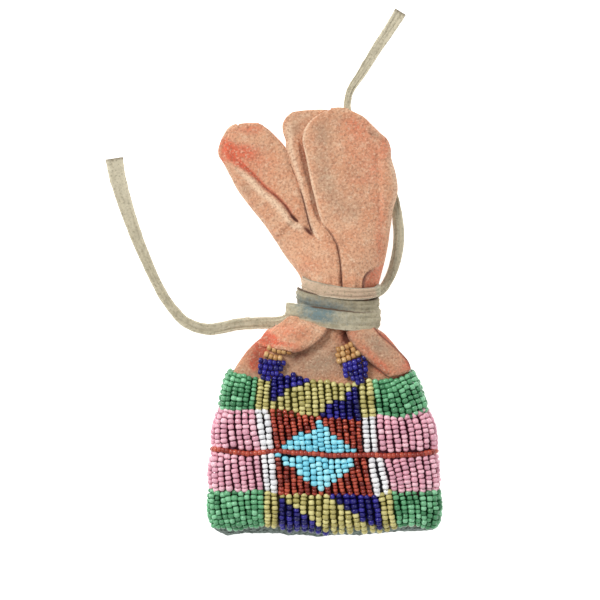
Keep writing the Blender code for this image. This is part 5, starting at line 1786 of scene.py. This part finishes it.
    def winding_marks(self, length, across, rings) -> dict:
        """Teal on the lower turns, pink on the upper one, pale edges, and painted shade between the turns and
        in the creases.
        """
        turn = self.turns()[:, None] + 0 * across
        u, _ = to_view(rings[..., 0], rings[..., 1])
        rim = np.abs(across)
        middle_turn, low_turn = bell(turn + 0.72, 0.3), bell(turn - 0.3, 0.25)
        top_turn = ramp(-1.25, -1.45, turn)
        teal = middle_turn * (0.7 - 0.5 * ramp(325, 365, u)) * (0.4 + 0.6 * ramp(-0.8, 0.2, across))
        teal += low_turn * (0.6 * bell(u - 318, 19) + 0.24) * ramp(0.85, 0.15, across)
        pink = top_turn * 0.66 * ramp(-1.95, -1.91, turn)
        pink += low_turn * 0.75 * ramp(0.3, 0.75, across) * ramp(335, 300, u)
        pale = 0.4 * ramp(0.7, 1.0, rim) * (1 - low_turn * (across < 0))
        pale += low_turn * 0.35 * ramp(320, 345, u) + 0.3 * top_turn
        # Painted shade along the edges where the turns meet and in the long creases, over an even darkening
        # of the middle turn
        soil = (0.8 * ramp(0.8, 0.97, rim) + 0.4) * middle_turn
        soil += 0.95 * low_turn * ramp(-0.72, -0.92, across) * ramp(302, 316, u)
        soil += 0.55 * ramp(-0.75, -0.95, across) * top_turn
        soil += 0.4 * bell(across - self.upper_crease(length), 0.08) * (top_turn + low_turn)
        return {"teal": teal, "pink": pink, "pale": pale, "soil": soil}

    def winding(self) -> Piece:
        """Make the three turns."""
        turns = self.turns()
        cos, sin = np.cos(2 * math.pi * turns), np.sin(2 * math.pi * turns)
        ups = np.stack([cos, 0 * cos, sin], axis=1)
        centres = np.array([self.wrap_point(turn) for turn in turns])
        centres += ups * at_table(turns, self.wrap_shifts)[:, None] * MM
        centres[:, 1] += at_table(turns, self.wrap_slides) * MM
        width = at_table(turns, self.wrap_widths) * MM
        curl = np.where(sin > -0.2, 0.1, 0.05) * MM
        return self.sweep("tie_winding", centres, ups, width, 1.5 * MM, curl, self.winding_marks)

    @staticmethod
    def tail_marks(length, across, rings) -> dict:
        """Paler rims, a darker middle and a soiled end."""
        share = length / length.max()
        pale = 0.4 + 0.4 * ramp(0.6, 1.0, np.abs(across)) + 0.2 * ramp(0.6, 1.0, share)
        soil = 0.2 * bell(across, 0.5) * ramp(0.75, 0.3, share) + 0.6 * ramp(0.985, 1.0, share)
        return {"teal": 0.1 + 0 * share, "pink": 0 * share, "pale": pale, "soil": soil}

    def tail(self, name: str, route: Rows, widths: Sequence[float]) -> tuple[Piece, Array]:
        """Make one free tail.

        Args:
            name: The piece's name.
            route: The tail's route, in metres.
            widths: Its widths from end to end, in millimetres.

        Returns:
            The piece and its centreline.
        """
        fine = np.array([along_table(route, share) for share in np.linspace(0, 1, 401)])
        lengths = path_lengths(fine)
        shares = np.linspace(0, 1, 150)
        centres = on_path(fine, lengths, shares * lengths[-1])
        width, curl = (
            np.interp(shares, np.linspace(0, 1, len(values)), values) * MM for values in (widths, self.curls)
        )
        run = unit(np.gradient(centres, axis=0))
        ups = unit(np.array([0, 0, 1]) - run * run[:, 2:3])
        return self.sweep(name, centres, ups, width, 1.3 * MM, curl, self.tail_marks), centres

    def build(self) -> None:
        hang(self.winding(), "thong", "tie_wraps")
        for node, route, widths, length in (
            ("tie_tail_left", self.left_route, self.left_widths, 0.0831),
            ("tie_tail_right", self.right_route, self.right_widths, 0.0879),
        ):
            piece, centres = self.tail(f"{node}_thong", route, widths)
            hang(piece, "thong", node)
            tuple(centres[0])
            [tuple(point) for point in centres]
        LOG.info("tie: winding and two tails")


# Studio


@dataclass
class Studio:
    """Camera straight above, a pale floor and soft light."""

    lens: float = 400.0
    sensor: float = 36.0
    lens_height: float = 0.004
    half_floor: float = 1.5

    def camera(self) -> None:
        """Look straight down with a long lens, framing 600 units of the view."""
        data = bpy.data.cameras.new("overhead")
        data.lens, data.sensor_width = self.lens, self.sensor
        data.clip_start, data.clip_end = 0.01, 20
        distance = self.lens / self.sensor * FRAME_SIDE / VIEW_SCALE
        camera = add_object("overhead", data)
        camera.location = (*from_view(FRAME_SIDE / 2, FRAME_SIDE / 2), distance + self.lens_height)
        bpy.context.scene.camera = camera

    def floor(self) -> None:
        """Lay a matt white table top."""
        material, tree, shader = new_material("matt_white_board")
        place = add_node(tree, "ShaderNodeTexCoord").outputs["Object"]
        tooth = add_node(tree, "ShaderNodeTexNoise", {"Vector": place, "Scale": 900.0, "Detail": 2.0})
        tones = add_node(tree, "ShaderNodeValToRGB", {"Fac": tooth})
        stops = tones.color_ramp.elements
        stops[0].color, stops[1].color = hex_linear("#fbfbfb"), hex_linear("#ffffff")
        values = {"Base Color": tones, "Roughness": 0.9, "Specular IOR Level": 0.1}
        join(tree, shader, {**values, "Emission Color": (1, 1, 1, 1), "Emission Strength": 0.8})
        half = self.half_floor
        corners = [(-half, -half, 0), (half, -half, 0), (half, half, 0), (-half, half, 0)]
        mesh_piece("floor", corners, [(0, 1, 2, 3)], material, {})

    def lights(self) -> None:
        """Light the room evenly, with soft boxes at the upper left and the right."""
        world = bpy.data.worlds.new("pale_room")
        world.use_nodes = True
        background = world.node_tree.nodes["Background"]
        join(world.node_tree, background, {"Color": (1, 1, 1, 1), "Strength": 0.42})
        bpy.context.scene.world = world
        for name, place, size, power in (
            ("soft_box_upper_left", (-0.75, 0.65, 0.95), 0.5, 13.0),
            ("soft_box_right", (0.8, -0.1, 1.0), 0.9, 3.0),
        ):
            data = bpy.data.lights.new(name, "AREA")
            data.shape, data.size, data.energy = "DISK", size, power
            lamp = add_object(name, data)
            lamp.location = place
            lamp.rotation_euler = (-Vector(place)).to_track_quat("-Z", "Y").to_euler()

    def build(self) -> None:
        """Set up the camera, floor, lights and colour view."""
        self.camera()
        self.floor()
        self.lights()
        bpy.context.scene.view_settings.view_transform = "Standard"
        LOG.info("studio: camera, floor and lights")


def main() -> None:
    """Build every sub-assembly in order."""
    logging.basicConfig(level=logging.INFO, format="%(message)s")
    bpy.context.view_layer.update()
    Studio().build()
    Tie(RolledThong().build()).build()
    hide = SmokedHide().build()
    Pouch(hide, DryPigment().build()).build()
    Shoulders(hide).build()
    Mouth(hide).build()
    Beadwork().build()


if __name__ == "__main__":
    main()
